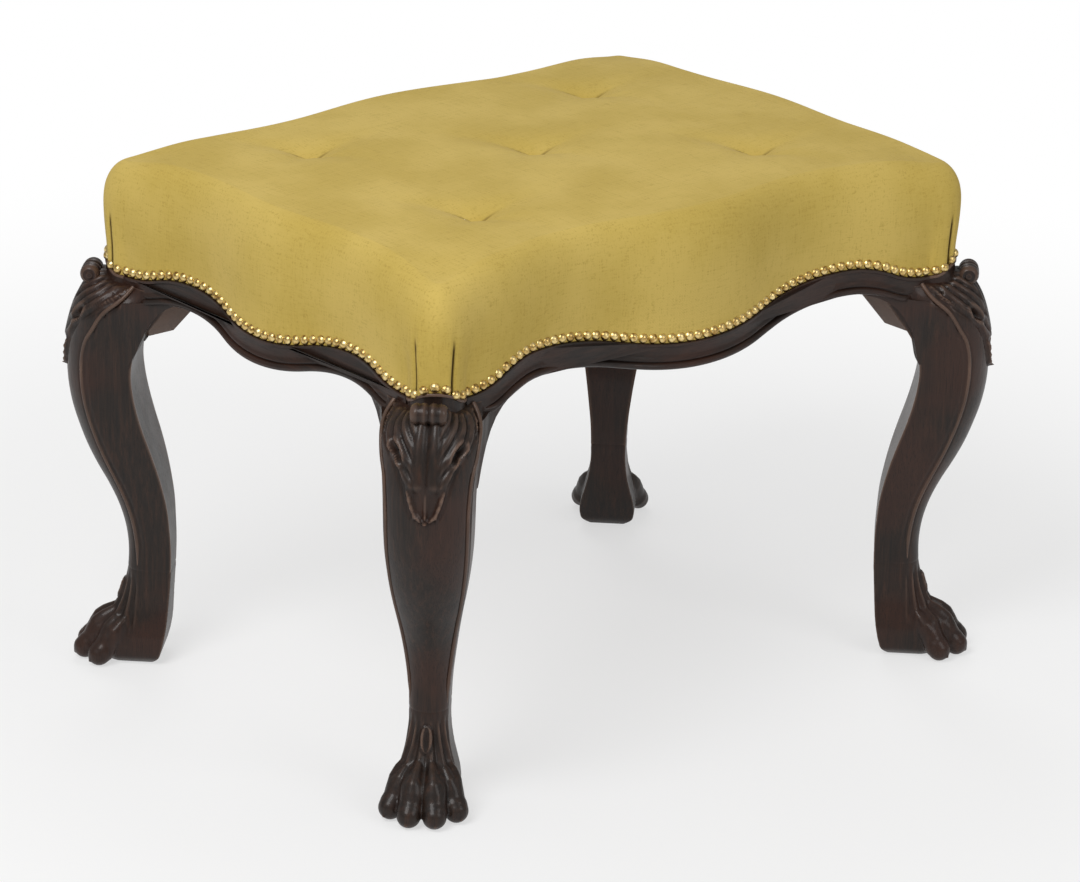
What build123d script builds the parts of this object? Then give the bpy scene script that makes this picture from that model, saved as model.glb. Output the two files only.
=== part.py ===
import os
from math import cos, radians, sin, sqrt

from build123d import *

# Upholstered stool in millimetres. X runs along the long sides, Y along the short sides, Z up.
# The origin is on the floor under the middle of the seat.

# Seat plan: serpentine sides between four rounded corners that stand out over the knees
side_reach_x = 291.5  # face of the short sides at their ends, from the middle
side_reach_y = 218.0  # face of the long sides at their ends
corner_start_x = 256.5  # where a long side ends and the corner begins
corner_start_y = 188.0  # where a short side ends
corner_rise = 21.0  # how far the rounded corner stands out over its chord
long_swell = 1.0  # middle of a long side, outward of its ends
long_hollow = 18.0  # the two hollows of a long side, inward of its ends
short_swell = 3.0
short_hollow = 8.5
hollow_share = 0.5  # place of the hollows along each half side

# Edge line: where the cloth ends and the moulded wood begins
edge_middle_height = 350.0
edge_end_height = 353.0
long_edge_peak = 370.5
short_edge_peak = 364.5
corner_edge_peak = 363.0
long_peak_share = 0.68
short_peak_share = 0.58
show_wood_height = 21.5

# Frame
rail_top = 400.0
rail_thickness = 28.0  # at the hollows
post_start_x = 236.0
post_start_y = 160.0
tenon_length = 22.0
tenon_thickness = 12.0
tenon_shoulder = 13.0  # from the inner face of the post to the tenon
tenon_drop = 8.0
tenon_height = 40.0
peg_diameter = 6.0
peg_spacing = 20.0
peg_stagger = 10.0  # between the pegs of the two rails, which cross inside the post
brace_height = 26.0
brace_drop = 4.0
brace_reach = 66.0  # from the post to the near edge of the brace, along each rail
brace_breadth = 36.0
screw_shank = 4.0
screw_head = 8.0
screw_head_height = 2.5
screw_length = 44.0
fit_gap = 0.3  # between neighbours that aren't glued or nailed face to face

# Upholstery layers, from the outside in
cover_thickness = 1.4
muslin_thickness = 0.8
cover_setback = 0.5  # cloth face inside the face of the show wood, at the nails
band_top = 376.0  # the cloth stands plumb up to here, and swells above
side_stations = [  # height, cloth face inside the show wood's face, share of a layer's depth that lowers it
    (376.0, 0.5, 0.0),
    (386.0, -0.8, 0.0),
    (398.0, -1.8, 0.0),
    (416.0, -2.4, 0.0),
    (430.0, -1.2, 0.2),
    (440.0, 1.4, 0.4),
    (448.0, 5.6, 0.7),
    (453.0, 10.4, 0.9),
    (456.0, 15.6, 1.0),
]
crown_rise = 6.0  # middle of the seat over the shoulder of its edge
tuft_place_x = 155.0
tuft_place_y = 108.0
tuft_radius = 34.0
tuft_depth = 7.0
tuft_throat = 2.5
tuft_lip = 0.4  # the dimple's rim over the face of the crown
webbing_width = 50.0
webbing_thickness = 2.0
webbing_fold = 18.0
webbing_margin = 4.0
long_web_count = 3
cross_web_count = 5
long_web_spacing = 100.0
cross_web_spacing = 78.0
hessian_thickness = 1.0
muslin_rise = 1.5  # lower edge of the muslin over the edge of the cover
hessian_margin = 6.0
first_stuffing_height = 26.0
first_stuffing_inset = 9.0
first_stuffing_round = 5.0
twine_diameter = 2.0
tab_width = 16.0
tab_thickness = 2.0
tack_head = 8.0
tack_head_height = 1.0
tack_shank = 1.8
tack_length = 12.0
tack_inset = 9.0  # from the end of the webbing
tack_spacing = 26.0

# Nails
nail_head = 8.4
nail_dome = 3.0
nail_shank = 1.4
nail_length = 12.0
nail_pitch = 8.9
nail_rise = 4.4  # centre of the heads over the edge line

# Legs: heights above the floor, and distances along and across the diagonal from the ankle's centre
ankle_x = 265.0
ankle_y = 190.0
leg_top = edge_end_height - show_wood_height
leg_stations = [  # height, outer reach, inner reach, half width
    (30.0, 30.0, -15.0, 19.0),
    (50.0, 26.0, -18.0, 17.5),
    (66.0, 22.0, -19.0, 16.4),
    (84.0, 19.4, -19.8, 16.2),
    (106.0, 18.8, -20.2, 17.2),
    (124.0, 21.2, -19.4, 19.2),
    (144.0, 27.2, -17.8, 21.8),
    (162.0, 35.4, -14.6, 24.6),
    (180.0, 45.2, -10.4, 27.8),
    (198.0, 53.8, -5.2, 30.6),
    (216.0, 60.4, 0.6, 32.8),
    (234.0, 65.8, 5.6, 34.2),
    (252.0, 69.0, 9.2, 34.9),
    (270.0, 70.2, 10.6, 35.3),
    (288.0, 70.2, 7.6, 36.0),
    (304.0, 67.4, -0.6, 37.4),
    (320.0, 63.2, -12.0, 39.0),
    (leg_top, 59.6, -20.0, 39.8),
]
knee_cap = (346.0, 55.0, -20.0, 36.0)  # the same four sizes where the knee ends against the moulding
front_round_share = 0.34  # share of the leg's depth that its rounded front takes
scroll_radius = 9.0
scroll_reach = 49.0
scroll_height = 349.0
scroll_width = 34.0
heel_sections = [  # height, outer reach, inner reach, half width
    (0.0, 40.0, -5.0, 17.0),
    (6.0, 46.0, -9.5, 24.0),
    (22.0, 47.0, -14.0, 27.0),
    (38.0, 38.0, -17.0, 22.5),
    (57.0, 19.0, -13.0, 11.0),
]
toe_angles = (-28.0, -9.5, 9.5, 28.0)
toe_start_reach = 3.0
outer_toe_setback = 9.0
toe_knots = [  # reach, height, radius
    (16.0, 44.0, 8.0),
    (30.0, 39.0, 9.5),
    (41.0, 31.0, 11.0),
    (49.0, 20.0, 10.0),
    (54.5, 10.0, 9.5),
]
knee_bracket_reach = 46.0
knee_bracket_drop = 42.0
knee_bracket_thickness = 26.0
knee_bracket_setback = 1.0
knee_bracket_run = 20.0  # past the start of the post, before the leg is cut out of it

overrun = 60.0  # how far cutting shapes run past what they cut

corner_chord = sqrt((side_reach_x - corner_start_x) ** 2 + (side_reach_y - corner_start_y) ** 2)
corner_radius = (corner_chord**2 / 4 + corner_rise**2) / (2 * corner_rise)
corner_out = Vector(side_reach_y - corner_start_y, side_reach_x - corner_start_x).normalized()
corner_middle = Vector((side_reach_x + corner_start_x) / 2, (side_reach_y + corner_start_y) / 2)
corner_centre = corner_middle + corner_out * (corner_rise - corner_radius)
recess = cover_setback + cover_thickness + muslin_thickness + 2 * fit_gap
web_base = rail_top
hessian_base = web_base + 2 * webbing_thickness
pad_base = hessian_base + hessian_thickness
diagonal = Vector(1, 1).normalized()
leg_frame = Plane(origin=(ankle_x, ankle_y, 0), x_dir=diagonal, z_dir=(0, 0, 1))
edge_low = edge_middle_height - show_wood_height - overrun
shoulder_height, shoulder_inset, _ = side_stations[-1]


def wave(points, place):
    """Smooth line of arcs through high and low points; place turns a point along the side into the plan."""
    for start, end in zip(points, points[1:]):
        middle = ((start[0] + end[0]) / 2, (start[1] + end[1]) / 2)
        ahead = place(1, 0) - place(0, 0)
        if start[1] == end[1]:
            Line(place(*start), place(*end))
        else:
            TangentArc(place(*start), place(*middle), tangent=ahead)
            TangentArc(place(*end), place(*middle), tangent=-ahead)


def wave_at(points, along):
    """Height of the same line at a place along the side."""
    for start, end in zip(points, points[1:]):
        if start[0] <= along <= end[0]:
            run, rise = (end[0] - start[0]) / 2, (end[1] - start[1]) / 2
            if rise == 0:
                return start[1]
            radius = (run**2 + rise**2) / (2 * abs(rise))
            near, sign = (start, 1) if along - start[0] <= run else (end, -1)
            drop = radius - sqrt(radius**2 - (along - near[0]) ** 2)
            return near[1] + sign * (drop if rise > 0 else -drop)
    return points[0][1]


def side_waves(inset):
    """The high and low points of the face of a long and of a short side, at an inset."""
    radius = corner_radius - inset
    across_x = side_reach_x - inset - corner_centre.X
    across_y = side_reach_y - inset - corner_centre.Y
    short_end = corner_centre.Y - sqrt(radius**2 - across_x**2)
    long_end = corner_centre.X - sqrt(radius**2 - across_y**2)
    sides = []
    for half, reach, swell, hollow in (
        (long_end, side_reach_y - inset, long_swell, long_hollow),
        (short_end, side_reach_x - inset, short_swell, short_hollow),
    ):
        low = (hollow_share * half, reach - hollow)
        sides.append([(-half, reach), (-low[0], low[1]), (0, reach + swell), low, (half, reach)])
    return sides


def seat_outline(inset=0.0):
    """Plan of the seat at an inset from the face of the show wood."""
    long_side, short_side = side_waves(inset)
    tip = corner_centre + corner_out * (corner_radius - inset)
    long_end, long_reach = long_side[-1]
    short_end, short_reach = short_side[-1]
    with BuildSketch() as plan:
        with BuildLine():
            for sign in (1, -1):
                wave(long_side, lambda along, out: Vector(along, sign * out))
                wave(short_side, lambda along, out: Vector(sign * out, along))
                for turn in (1, -1):
                    ThreePointArc(
                        (sign * long_end, turn * long_reach),
                        (sign * tip.X, turn * tip.Y),
                        (sign * short_reach, turn * short_end),
                    )
        make_face()
    return plan.sketch


def edge_points(kind, shift=0.0):
    """High and low points of the edge line along one side or corner."""
    if kind == "corner":
        half = corner_chord / 2
        heights = (edge_end_height, corner_edge_peak, edge_end_height)
        return [(along * half, height + shift) for along, height in zip((-1, 0, 1), heights)]
    half = corner_start_x if kind == "long" else corner_start_y
    peak = long_edge_peak if kind == "long" else short_edge_peak
    place = (long_peak_share if kind == "long" else short_peak_share) * half
    return [
        (-half, edge_end_height + shift),
        (-place, peak + shift),
        (0, edge_middle_height + shift),
        (place, peak + shift),
        (half, edge_end_height + shift),
    ]


def edge_plane(kind):
    """Plane that looks at a side or corner from outside, with its run along X and height along Y."""
    if kind == "long":
        return Plane(origin=(0, post_start_y, 0), x_dir=(-1, 0, 0), z_dir=(0, 1, 0))
    if kind == "short":
        return Plane(origin=(post_start_x, 0, 0), x_dir=(0, 1, 0), z_dir=(1, 0, 0))
    start = corner_middle - corner_out * overrun
    return Plane(origin=start, x_dir=(-corner_out.Y, corner_out.X, 0), z_dir=corner_out)


def below_edge(kind, shift=0.0):
    """Block under the edge line of one side or corner."""
    points = edge_points(kind, shift)
    with BuildPart() as block:
        with BuildSketch(edge_plane(kind)):
            with BuildLine():
                wave(points, lambda along, up: Vector(along, up))
                Line(points[0], (points[0][0], edge_low))
                Line((points[0][0], edge_low), (points[-1][0], edge_low))
                Line((points[-1][0], edge_low), points[-1])
            make_face()
        extrude(amount=2 * overrun + corner_chord)
    return block.part


def box_between(low, high):
    """Plain block from its lowest to its highest corner."""
    size = [high[axis] - low[axis] for axis in range(3)]
    with BuildPart() as block:
        with Locations(tuple((low[axis] + high[axis]) / 2 for axis in range(3))):
            Box(*size)
    return block.part


def rod(start, direction, length, diameter):
    """Round bar from a point along a direction."""
    with BuildPart() as bar:
        with BuildSketch(Plane(origin=start, z_dir=direction)):
            Circle(diameter / 2)
        extrude(amount=length)
    return bar.part


long_inner_face = side_reach_y - long_hollow - rail_thickness
short_inner_face = side_reach_x - short_hollow - rail_thickness
tenon_base = rail_top - tenon_drop - tenon_height
tenon_level = tenon_base + tenon_height / 2
long_tenon_y = post_start_y + tenon_shoulder + tenon_thickness
short_tenon_x = side_reach_x - recess - tenon_shoulder
long_tenon = (
    (post_start_x, long_tenon_y, tenon_base),
    (post_start_x + tenon_length, long_tenon_y + tenon_thickness, tenon_base + tenon_height),
)
short_tenon = (
    (short_tenon_x - tenon_thickness, post_start_y, tenon_base),
    (short_tenon_x, post_start_y + tenon_length, tenon_base + tenon_height),
)


# Tenon pegs: two through each joint, driven square to the rail from inside the frame
def joint_pegs():
    """The four pegs of one corner of the frame."""
    pegs = []
    long_length = long_tenon[1][1] + tenon_thickness / 2 - post_start_y
    short_length = short_tenon[1][0] + tenon_thickness / 2 - post_start_x
    for turn in (-1, 1):
        middle = post_start_x + tenon_length / 2
        level = tenon_level + (turn * peg_spacing - peg_stagger) / 2
        pegs.append(rod((middle, post_start_y, level), (0, 1, 0), long_length, peg_diameter))
        middle = post_start_y + tenon_length / 2
        level = tenon_level + (turn * peg_spacing + peg_stagger) / 2
        pegs.append(rod((post_start_x, middle, level), (1, 0, 0), short_length, peg_diameter))
    return pegs


corner_pegs = joint_pegs()

# Corner screws: one from each end of the diagonal brace, square into the rail
brace_level = rail_top - brace_drop - brace_height / 2
brace_line = [
    (short_inner_face, post_start_y - brace_reach),
    (short_inner_face, post_start_y - brace_reach + brace_breadth),
    (post_start_x - brace_reach + brace_breadth, long_inner_face),
    (post_start_x - brace_reach, long_inner_face),
]


def wood_screw(start, direction):
    """Screw with a flat head, its shank running on from the head."""
    head = Plane(origin=start, z_dir=direction)
    with BuildPart() as screw:
        with BuildSketch(head):
            Circle(screw_head / 2)
        extrude(amount=screw_head_height)
        with BuildSketch(head.offset(screw_head_height)):
            Circle(screw_shank / 2)
        extrude(amount=screw_length - screw_head_height)
    return screw.part


screw_inset = brace_breadth / 2
long_screw_start = (post_start_x - brace_reach + screw_inset, long_inner_face - screw_inset, brace_level)
short_screw_start = (short_inner_face - screw_inset, post_start_y - brace_reach + screw_inset, brace_level)
corner_screws = [wood_screw(long_screw_start, (0, 1, 0)), wood_screw(short_screw_start, (1, 0, 0))]

# Legs: paw, shaft and knee from lofts, with the scroll, the collar of show wood and the post
corner_block = box_between(
    (post_start_x, post_start_y, edge_low),
    (side_reach_x + overrun, side_reach_y + overrun, rail_top),
)
corner_edge_blocks = [below_edge(kind) for kind in ("long", "corner", "short")]
with BuildPart() as under_corner_edge:
    add(corner_edge_blocks)

with BuildPart() as post:
    with BuildSketch(Plane.XY.offset(leg_top)):
        add(seat_outline(recess))
    extrude(amount=rail_top - leg_top)
    add(corner_block, mode=Mode.INTERSECT)

with BuildPart() as collar:
    with BuildSketch(Plane.XY.offset(leg_top)):
        add(seat_outline())
    extrude(amount=rail_top - leg_top)
    add(corner_block, mode=Mode.INTERSECT)
    add(under_corner_edge.part, mode=Mode.INTERSECT)


def leg_section(outer, inner, half_width):
    """Cross section of a leg: square back and sides, rounded front."""
    shoulder = outer - (outer - inner) * front_round_share
    with BuildSketch() as section:
        with BuildLine():
            Polyline((shoulder, -half_width), (inner, -half_width), (inner, half_width), (shoulder, half_width))
            ThreePointArc((shoulder, half_width), (outer, 0), (shoulder, -half_width))
        make_face()
    return section.sketch


def toe(angle, setback):
    """One toe: a tube that swells at the knuckle and ends in a round tip."""
    heading = Vector(cos(radians(angle)), sin(radians(angle)))
    run = toe_start_reach - setback
    path = [heading * (run + reach) + Vector(0, 0, height) for reach, height, _ in toe_knots]
    with BuildPart() as digit:
        for index, (_, _, radius) in enumerate(toe_knots):
            ahead = path[min(index + 1, len(path) - 1)] - path[max(index - 1, 0)]
            with BuildSketch(Plane(origin=path[index], z_dir=ahead)):
                Circle(radius)
        loft()
        with Locations(path[-1]):
            Sphere(toe_knots[-1][2])
    return digit.part


toes = [toe(angle, outer_toe_setback if abs(angle) == max(toe_angles) else 0) for angle in toe_angles]
with BuildPart() as paw:
    for height, outer, inner, half_width in heel_sections:
        with BuildSketch(Plane.XY.offset(height)):
            add(leg_section(outer, inner, half_width))
    loft()
    add(toes)
    with BuildSketch():
        Circle(overrun + corner_chord)
    extrude(amount=-overrun, mode=Mode.SUBTRACT)

with BuildPart() as shaft:
    for height, outer, inner, half_width in leg_stations:
        with BuildSketch(Plane.XY.offset(height)):
            add(leg_section(outer, inner, half_width))
    loft()
    add(paw.part)

with BuildPart() as knee:
    for height, outer, inner, half_width in (leg_stations[-1], knee_cap):
        with BuildSketch(Plane.XY.offset(height)):
            add(leg_section(outer, inner, half_width))
    loft()
    with BuildSketch(Plane.XZ.offset(-scroll_width / 2)):
        with Locations((scroll_reach, scroll_height)):
            Circle(scroll_radius)
    extrude(amount=scroll_width)

with BuildPart() as knee_end:
    add(leg_frame.from_local_coords(knee.part))
    add(corner_block, mode=Mode.INTERSECT)

leg_cutters = [box_between(*long_tenon), box_between(*short_tenon), *corner_pegs]

with BuildPart() as leg_blank:
    add(leg_frame.from_local_coords(shaft.part))
    add(knee_end.part)
    add(collar.part)
    add(post.part)
    add(leg_cutters, mode=Mode.SUBTRACT)


# Rails: serpentine face and shaped lower edge, a strip of show wood, and a tenon at each end
def mirrored(solid, flip_x, flip_y):
    """Copy of a solid at another corner or on the other side."""
    if flip_x:
        solid = mirror(solid, about=Plane.YZ)
    if flip_y:
        solid = mirror(solid, about=Plane.XZ)
    return solid


def rail(kind, inner_face, tenon, half):
    """One rail on the positive side of the seat."""
    far = side_reach_x + overrun
    low = (-half, inner_face, edge_low) if kind == "long" else (inner_face, -half, edge_low)
    high = (half, far, rail_top) if kind == "long" else (far, half, rail_top)
    stock = box_between(low, high)
    under_edge = below_edge(kind)
    under_wood = below_edge(kind, -show_wood_height)
    tongue = box_between(*tenon)
    tongues = [tongue, mirrored(tongue, kind == "long", kind == "short")]
    bores = [
        mirrored(cutter, flip_x, flip_y)
        for cutter in [*corner_pegs, *corner_screws]
        for flip_x, flip_y in ((False, False), (kind == "long", kind == "short"))
    ]
    with BuildPart() as strip:
        with BuildSketch(Plane.XY.offset(edge_low)):
            add(seat_outline())
        extrude(amount=rail_top - edge_low)
        add(under_edge, mode=Mode.INTERSECT)
        add(stock, mode=Mode.INTERSECT)
    with BuildPart() as whole:
        with BuildSketch(Plane.XY.offset(edge_low)):
            add(seat_outline(recess))
        extrude(amount=rail_top - edge_low)
        add(stock, mode=Mode.INTERSECT)
        add(strip.part)
        add(under_wood, mode=Mode.SUBTRACT)
        add(tongues)
        add(bores, mode=Mode.SUBTRACT)
    return whole.part


long_rail = rail("long", long_inner_face, long_tenon, post_start_x)
short_rail = rail("short", short_inner_face, short_tenon, post_start_y)


# Knee brackets: glued into the corner between a leg and a rail, hollowed to carry on the arch
def knee_bracket(kind):
    """Bracket at the positive corner, under one of its two rails."""
    end = post_start_x if kind == "long" else post_start_y
    reach = side_reach_y if kind == "long" else side_reach_x
    hollow = long_hollow if kind == "long" else short_hollow
    start = end - knee_bracket_reach
    under = wave_at(edge_points(kind, -show_wood_height), start)
    finish = end + knee_bracket_run
    foot = leg_top - knee_bracket_drop
    inner = reach - hollow - knee_bracket_thickness
    low = (start, inner, edge_low) if kind == "long" else (inner, start, edge_low)
    high = (finish, reach + overrun, rail_top) if kind == "long" else (reach + overrun, finish, rail_top)
    stock = box_between(low, high)
    under_rail = below_edge(kind, -show_wood_height)
    turn = -1 if kind == "long" else 1
    with BuildPart() as arch:
        with BuildSketch(edge_plane(kind).offset(-overrun)):
            with BuildLine():
                TangentArc((turn * start, under), (turn * finish, foot), tangent=(turn, 0))
                Polyline((turn * finish, foot), (turn * start, foot), (turn * start, under))
            make_face()
        extrude(amount=2 * overrun + corner_chord)
    with BuildPart() as bracket:
        with BuildSketch(Plane.XY.offset(foot)):
            add(seat_outline(knee_bracket_setback))
        extrude(amount=rail_top - foot)
        add(stock, mode=Mode.INTERSECT)
        add(under_rail, mode=Mode.INTERSECT)
        add(arch.part, mode=Mode.SUBTRACT)
        add(leg_blank.part, mode=Mode.SUBTRACT)
    return bracket.part


# Corner braces: glued and screwed across the inside of each corner
screw_cutters = []
for start, direction in ((long_screw_start, (0, 1, 0)), (short_screw_start, (1, 0, 0))):
    back = Vector(*start) - Vector(*direction) * overrun
    screw_cutters.append(rod(start, direction, screw_length, screw_shank))
    screw_cutters.append(rod(back, direction, overrun + screw_head_height, screw_head))

with BuildPart() as corner_brace:
    with BuildSketch(Plane.XY.offset(rail_top - brace_drop - brace_height)):
        with BuildLine():
            Polyline(*brace_line, close=True)
        make_face()
    extrude(amount=brace_height)
    add(screw_cutters, mode=Mode.SUBTRACT)


# Tufting twines: from under the cover, down through the whole seat, to a tab under the webbing
def crown_at(reach, along):
    """Height of the crown's arc at a place between the middle and the reach of a side."""
    radius = (reach**2 + crown_rise**2) / (2 * crown_rise)
    return shoulder_height + crown_rise - radius + sqrt(radius**2 - along**2)


tufts = [(0.0, 0.0, crown_at(side_reach_x, 0))]
for place_x in (-tuft_place_x, tuft_place_x):
    for place_y in (-tuft_place_y, tuft_place_y):
        surface = min(crown_at(side_reach_x, place_x), crown_at(side_reach_y, place_y))
        tufts.append((place_x, place_y, surface))
twine_foot = web_base - tab_thickness
tuft_twines = []
for place_x, place_y, surface in tufts:
    top = surface - tuft_depth - cover_thickness - fit_gap
    tuft_twines.append(rod((place_x, place_y, twine_foot), (0, 0, 1), top - twine_foot, twine_diameter))


def tuft_hollow(place_x, place_y, surface, depth):
    """Dimple of one tuft, with a rounded lip, to take out of a layer that lies at a depth."""
    floor = surface - tuft_depth - depth
    lip = surface - depth + tuft_lip
    with BuildPart() as dimple:
        with BuildSketch(Plane(origin=(place_x, place_y, 0), x_dir=(1, 0, 0), z_dir=(0, -1, 0))):
            with BuildLine():
                Polyline((tuft_throat, floor), (0, floor), (0, lip + overrun), (tuft_radius, lip + overrun),
                         (tuft_radius, lip))
                TangentArc((tuft_radius, lip), (tuft_throat, floor), tangent=(-1, 0))
            make_face()
        revolve(axis=Axis((place_x, place_y, 0), (0, 0, 1)))
    return dimple.part


def crown_block(plane, reach, depth):
    """Block under the crown's arc, which runs along a plane's X."""
    spring = shoulder_height - depth
    with BuildPart() as block:
        with BuildSketch(plane):
            with BuildLine():
                ThreePointArc((-reach, spring), (0, spring + crown_rise), (reach, spring))
                Line((reach, spring), (-reach, spring))
            make_face()
        extrude(amount=side_reach_x + overrun, both=True)
    return block.part


def cushion(depth):
    """Tufted, crowned form of the seat at a depth under the face of the cloth."""
    crown_x = crown_block(Plane.XZ, side_reach_x, depth)
    crown_y = crown_block(Plane.YZ, side_reach_y, depth)
    hollows = [tuft_hollow(*tuft, depth) for tuft in tufts]
    with BuildPart() as crown:
        with BuildSketch(Plane.XY.offset(shoulder_height - depth)):
            add(seat_outline(shoulder_inset + depth))
        extrude(amount=crown_rise)
        add(crown_x, mode=Mode.INTERSECT)
        add(crown_y, mode=Mode.INTERSECT)
    with BuildPart() as form:
        for height, inset, fall_share in side_stations:
            with BuildSketch(Plane.XY.offset(height - fall_share * depth)):
                add(seat_outline(inset + depth))
        loft(ruled=True)
        add(crown.part)
        add(hollows, mode=Mode.SUBTRACT)
    return form.part


# Webbing: two layers over the open frame, each end folded over on the rail and tacked
def web_end(along_x, level, length, place):
    """Box for webbing of one direction, centred on a line, between two levels."""
    half = webbing_width / 2
    low = (-length, place - half, level) if along_x else (place - half, -length, level)
    high = (length, place + half) if along_x else (place + half, length)
    return low, (*high, level + webbing_thickness)


def webs(along_x):
    """All strips that run one way, with their folded ends."""
    count = long_web_count if along_x else cross_web_count
    spacing = long_web_spacing if along_x else cross_web_spacing
    reach = side_reach_x if along_x else side_reach_y
    strip_level = web_base if along_x else web_base + webbing_thickness
    fold_level = web_base + webbing_thickness if along_x else web_base
    inner = reach - recess - webbing_margin - webbing_fold
    inner -= short_hollow if along_x else long_hollow
    boxes = []
    for index in range(count):
        place = (index - (count - 1) / 2) * spacing
        fold = box_between(*web_end(along_x, fold_level, reach, place))
        gap = box_between(*web_end(along_x, fold_level, inner, place))
        boxes += [box_between(*web_end(along_x, strip_level, reach, place)), fold - gap]
    with BuildPart() as strips:
        add(boxes)
        with BuildSketch(Plane.XY.offset(web_base)):
            add(seat_outline(recess + webbing_margin))
        extrude(amount=2 * webbing_thickness, mode=Mode.INTERSECT)
        add(tuft_twines, mode=Mode.SUBTRACT)
    return strips.part


def web_tacks():
    """Two tacks through each end of each strip, into the rail."""
    places = []
    for along_x in (True, False):
        count = long_web_count if along_x else cross_web_count
        spacing = long_web_spacing if along_x else cross_web_spacing
        sides = side_waves(recess + webbing_margin)
        for index in range(count):
            for turn in (-1, 1):
                across = (index - (count - 1) / 2) * spacing + turn * tack_spacing / 2
                reach = wave_at(sides[1 if along_x else 0], across) - tack_inset
                for sign in (-1, 1):
                    places.append((sign * reach, across) if along_x else (across, sign * reach))
    with BuildPart() as tack:
        with BuildSketch(Plane.XY.offset(hessian_base)):
            Circle(tack_head / 2)
        extrude(amount=tack_head_height)
        with BuildSketch(Plane.XY.offset(hessian_base)):
            Circle(tack_shank / 2)
        extrude(amount=-tack_length)
    with BuildPart() as tacks:
        with Locations(*places):
            add(tack.part)
    return tacks.part


long_webs = webs(True)
cross_webs = webs(False)
webbing_tacks = web_tacks()

with BuildPart() as hessian:
    with BuildSketch(Plane.XY.offset(hessian_base)):
        add(seat_outline(recess + hessian_margin))
    extrude(amount=hessian_thickness)
    add(webbing_tacks, mode=Mode.SUBTRACT)
    add(tuft_twines, mode=Mode.SUBTRACT)

# Stuffings: a firm first pad with rounded edges, and a soft second one over it that carries the tufts
first_top = pad_base + first_stuffing_height
with BuildPart() as first_stuffing:
    for height, inset in (
        (pad_base, first_stuffing_inset),
        (first_top - first_stuffing_round, first_stuffing_inset),
        (first_top, first_stuffing_inset + first_stuffing_round),
    ):
        with BuildSketch(Plane.XY.offset(height)):
            add(seat_outline(inset))
    loft(ruled=True)
    add(tuft_twines, mode=Mode.SUBTRACT)

muslin_depth = cover_thickness + fit_gap
stuffing_depth = muslin_depth + muslin_thickness + fit_gap


def all_below_edge(shift):
    """Blocks under the edge line all the way round the seat."""
    blocks = []
    for kind in ("long", "short"):
        block = below_edge(kind, shift)
        blocks += [block, mirrored(block, kind == "short", kind == "long")]
    corner = below_edge("corner", shift)
    blocks += [mirrored(corner, flip_x, flip_y) for flip_x in (False, True) for flip_y in (False, True)]
    return blocks


def cloth_layer(depth, thickness, rise):
    """Skin of cloth over the whole seat, its plumb skirt cut along the edge line."""
    outside = cushion(depth)
    inside = cushion(depth + thickness)
    blocks = all_below_edge(rise)
    with BuildPart() as skirt:
        with BuildSketch(Plane.XY.offset(edge_low)):
            add(seat_outline(cover_setback + depth))
            add(seat_outline(cover_setback + depth + thickness), mode=Mode.SUBTRACT)
        extrude(amount=band_top - edge_low)
        add(blocks, mode=Mode.SUBTRACT)
    with BuildPart() as layer:
        add(outside)
        add(inside, mode=Mode.SUBTRACT)
        add(skirt.part)
    return layer.part


soft_form = cushion(stuffing_depth)
with BuildPart() as second_stuffing:
    add(soft_form)
    with BuildSketch(Plane.XY.offset(pad_base)):
        Rectangle(2 * side_reach_x + overrun, 2 * side_reach_y + overrun)
    extrude(amount=-2 * overrun, mode=Mode.SUBTRACT)
    add(first_stuffing.part, mode=Mode.SUBTRACT)
    add(tuft_twines, mode=Mode.SUBTRACT)

muslin_form = cloth_layer(muslin_depth, muslin_thickness, muslin_rise)
with BuildPart() as muslin:
    add(muslin_form)
    add(tuft_twines, mode=Mode.SUBTRACT)

top_cover = cloth_layer(0, cover_thickness, fit_gap)

with BuildPart() as tabs:
    for place_x, place_y, surface in tufts:
        with BuildSketch(Plane.XY.offset(web_base - tab_thickness)):
            with Locations((place_x, place_y)):
                Rectangle(tab_width, tab_width)
        extrude(amount=tab_thickness)
    add(tuft_twines, mode=Mode.SUBTRACT)

# Nails: domed heads on the cloth, just above the edge line, their shanks in the wood
with BuildPart() as nail:
    with BuildSketch(Plane.XZ):
        with BuildLine():
            TangentArc((0, nail_dome), (nail_head / 2, 0), tangent=(1, 0))
            Polyline((0, nail_dome), (0, nail_dome - nail_length), (nail_shank / 2, nail_dome - nail_length),
                     (nail_shank / 2, 0), (nail_head / 2, 0))
        make_face()
    revolve(axis=Axis.Z)


def edge_height(point):
    """Height of the edge line at a point of the plan."""
    long_side, short_side = side_waves(cover_setback)
    x, y = abs(point.X), abs(point.Y)
    if x <= long_side[-1][0]:
        return wave_at(edge_points("long"), x)
    if y <= short_side[-1][0]:
        return wave_at(edge_points("short"), y)
    along = (Vector(x, y) - corner_middle).dot(Vector(-corner_out.Y, corner_out.X))
    return wave_at(edge_points("corner"), along)


nail_line = seat_outline(cover_setback).wire()
nail_count = round(nail_line.length / nail_pitch)
nail_rows = {"front": [], "back": [], "left": [], "right": []}
for index in range(nail_count):
    point = nail_line.position_at(index / nail_count)
    ahead = nail_line.tangent_at(index / nail_count)
    out = Vector(ahead.Y, -ahead.X)
    if out.dot(point) < 0:
        out = -out
    height = edge_height(point) + nail_rise
    if abs(point.Y) / side_reach_y > abs(point.X) / side_reach_x:
        row = "back" if point.Y > 0 else "front"
    else:
        row = "right" if point.X > 0 else "left"
    nail_rows[row].append(Plane(origin=(point.X, point.Y, height), z_dir=out).location)


def nail_row(places):
    with BuildPart() as row:
        with Locations(*places):
            add(nail.part)
    return row.part


def four_corners(solids):
    """The same solids at all four corners."""
    return [
        mirrored(solid, flip_x, flip_y)
        for solid in solids
        for flip_x in (False, True)
        for flip_y in (False, True)
    ]


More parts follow.
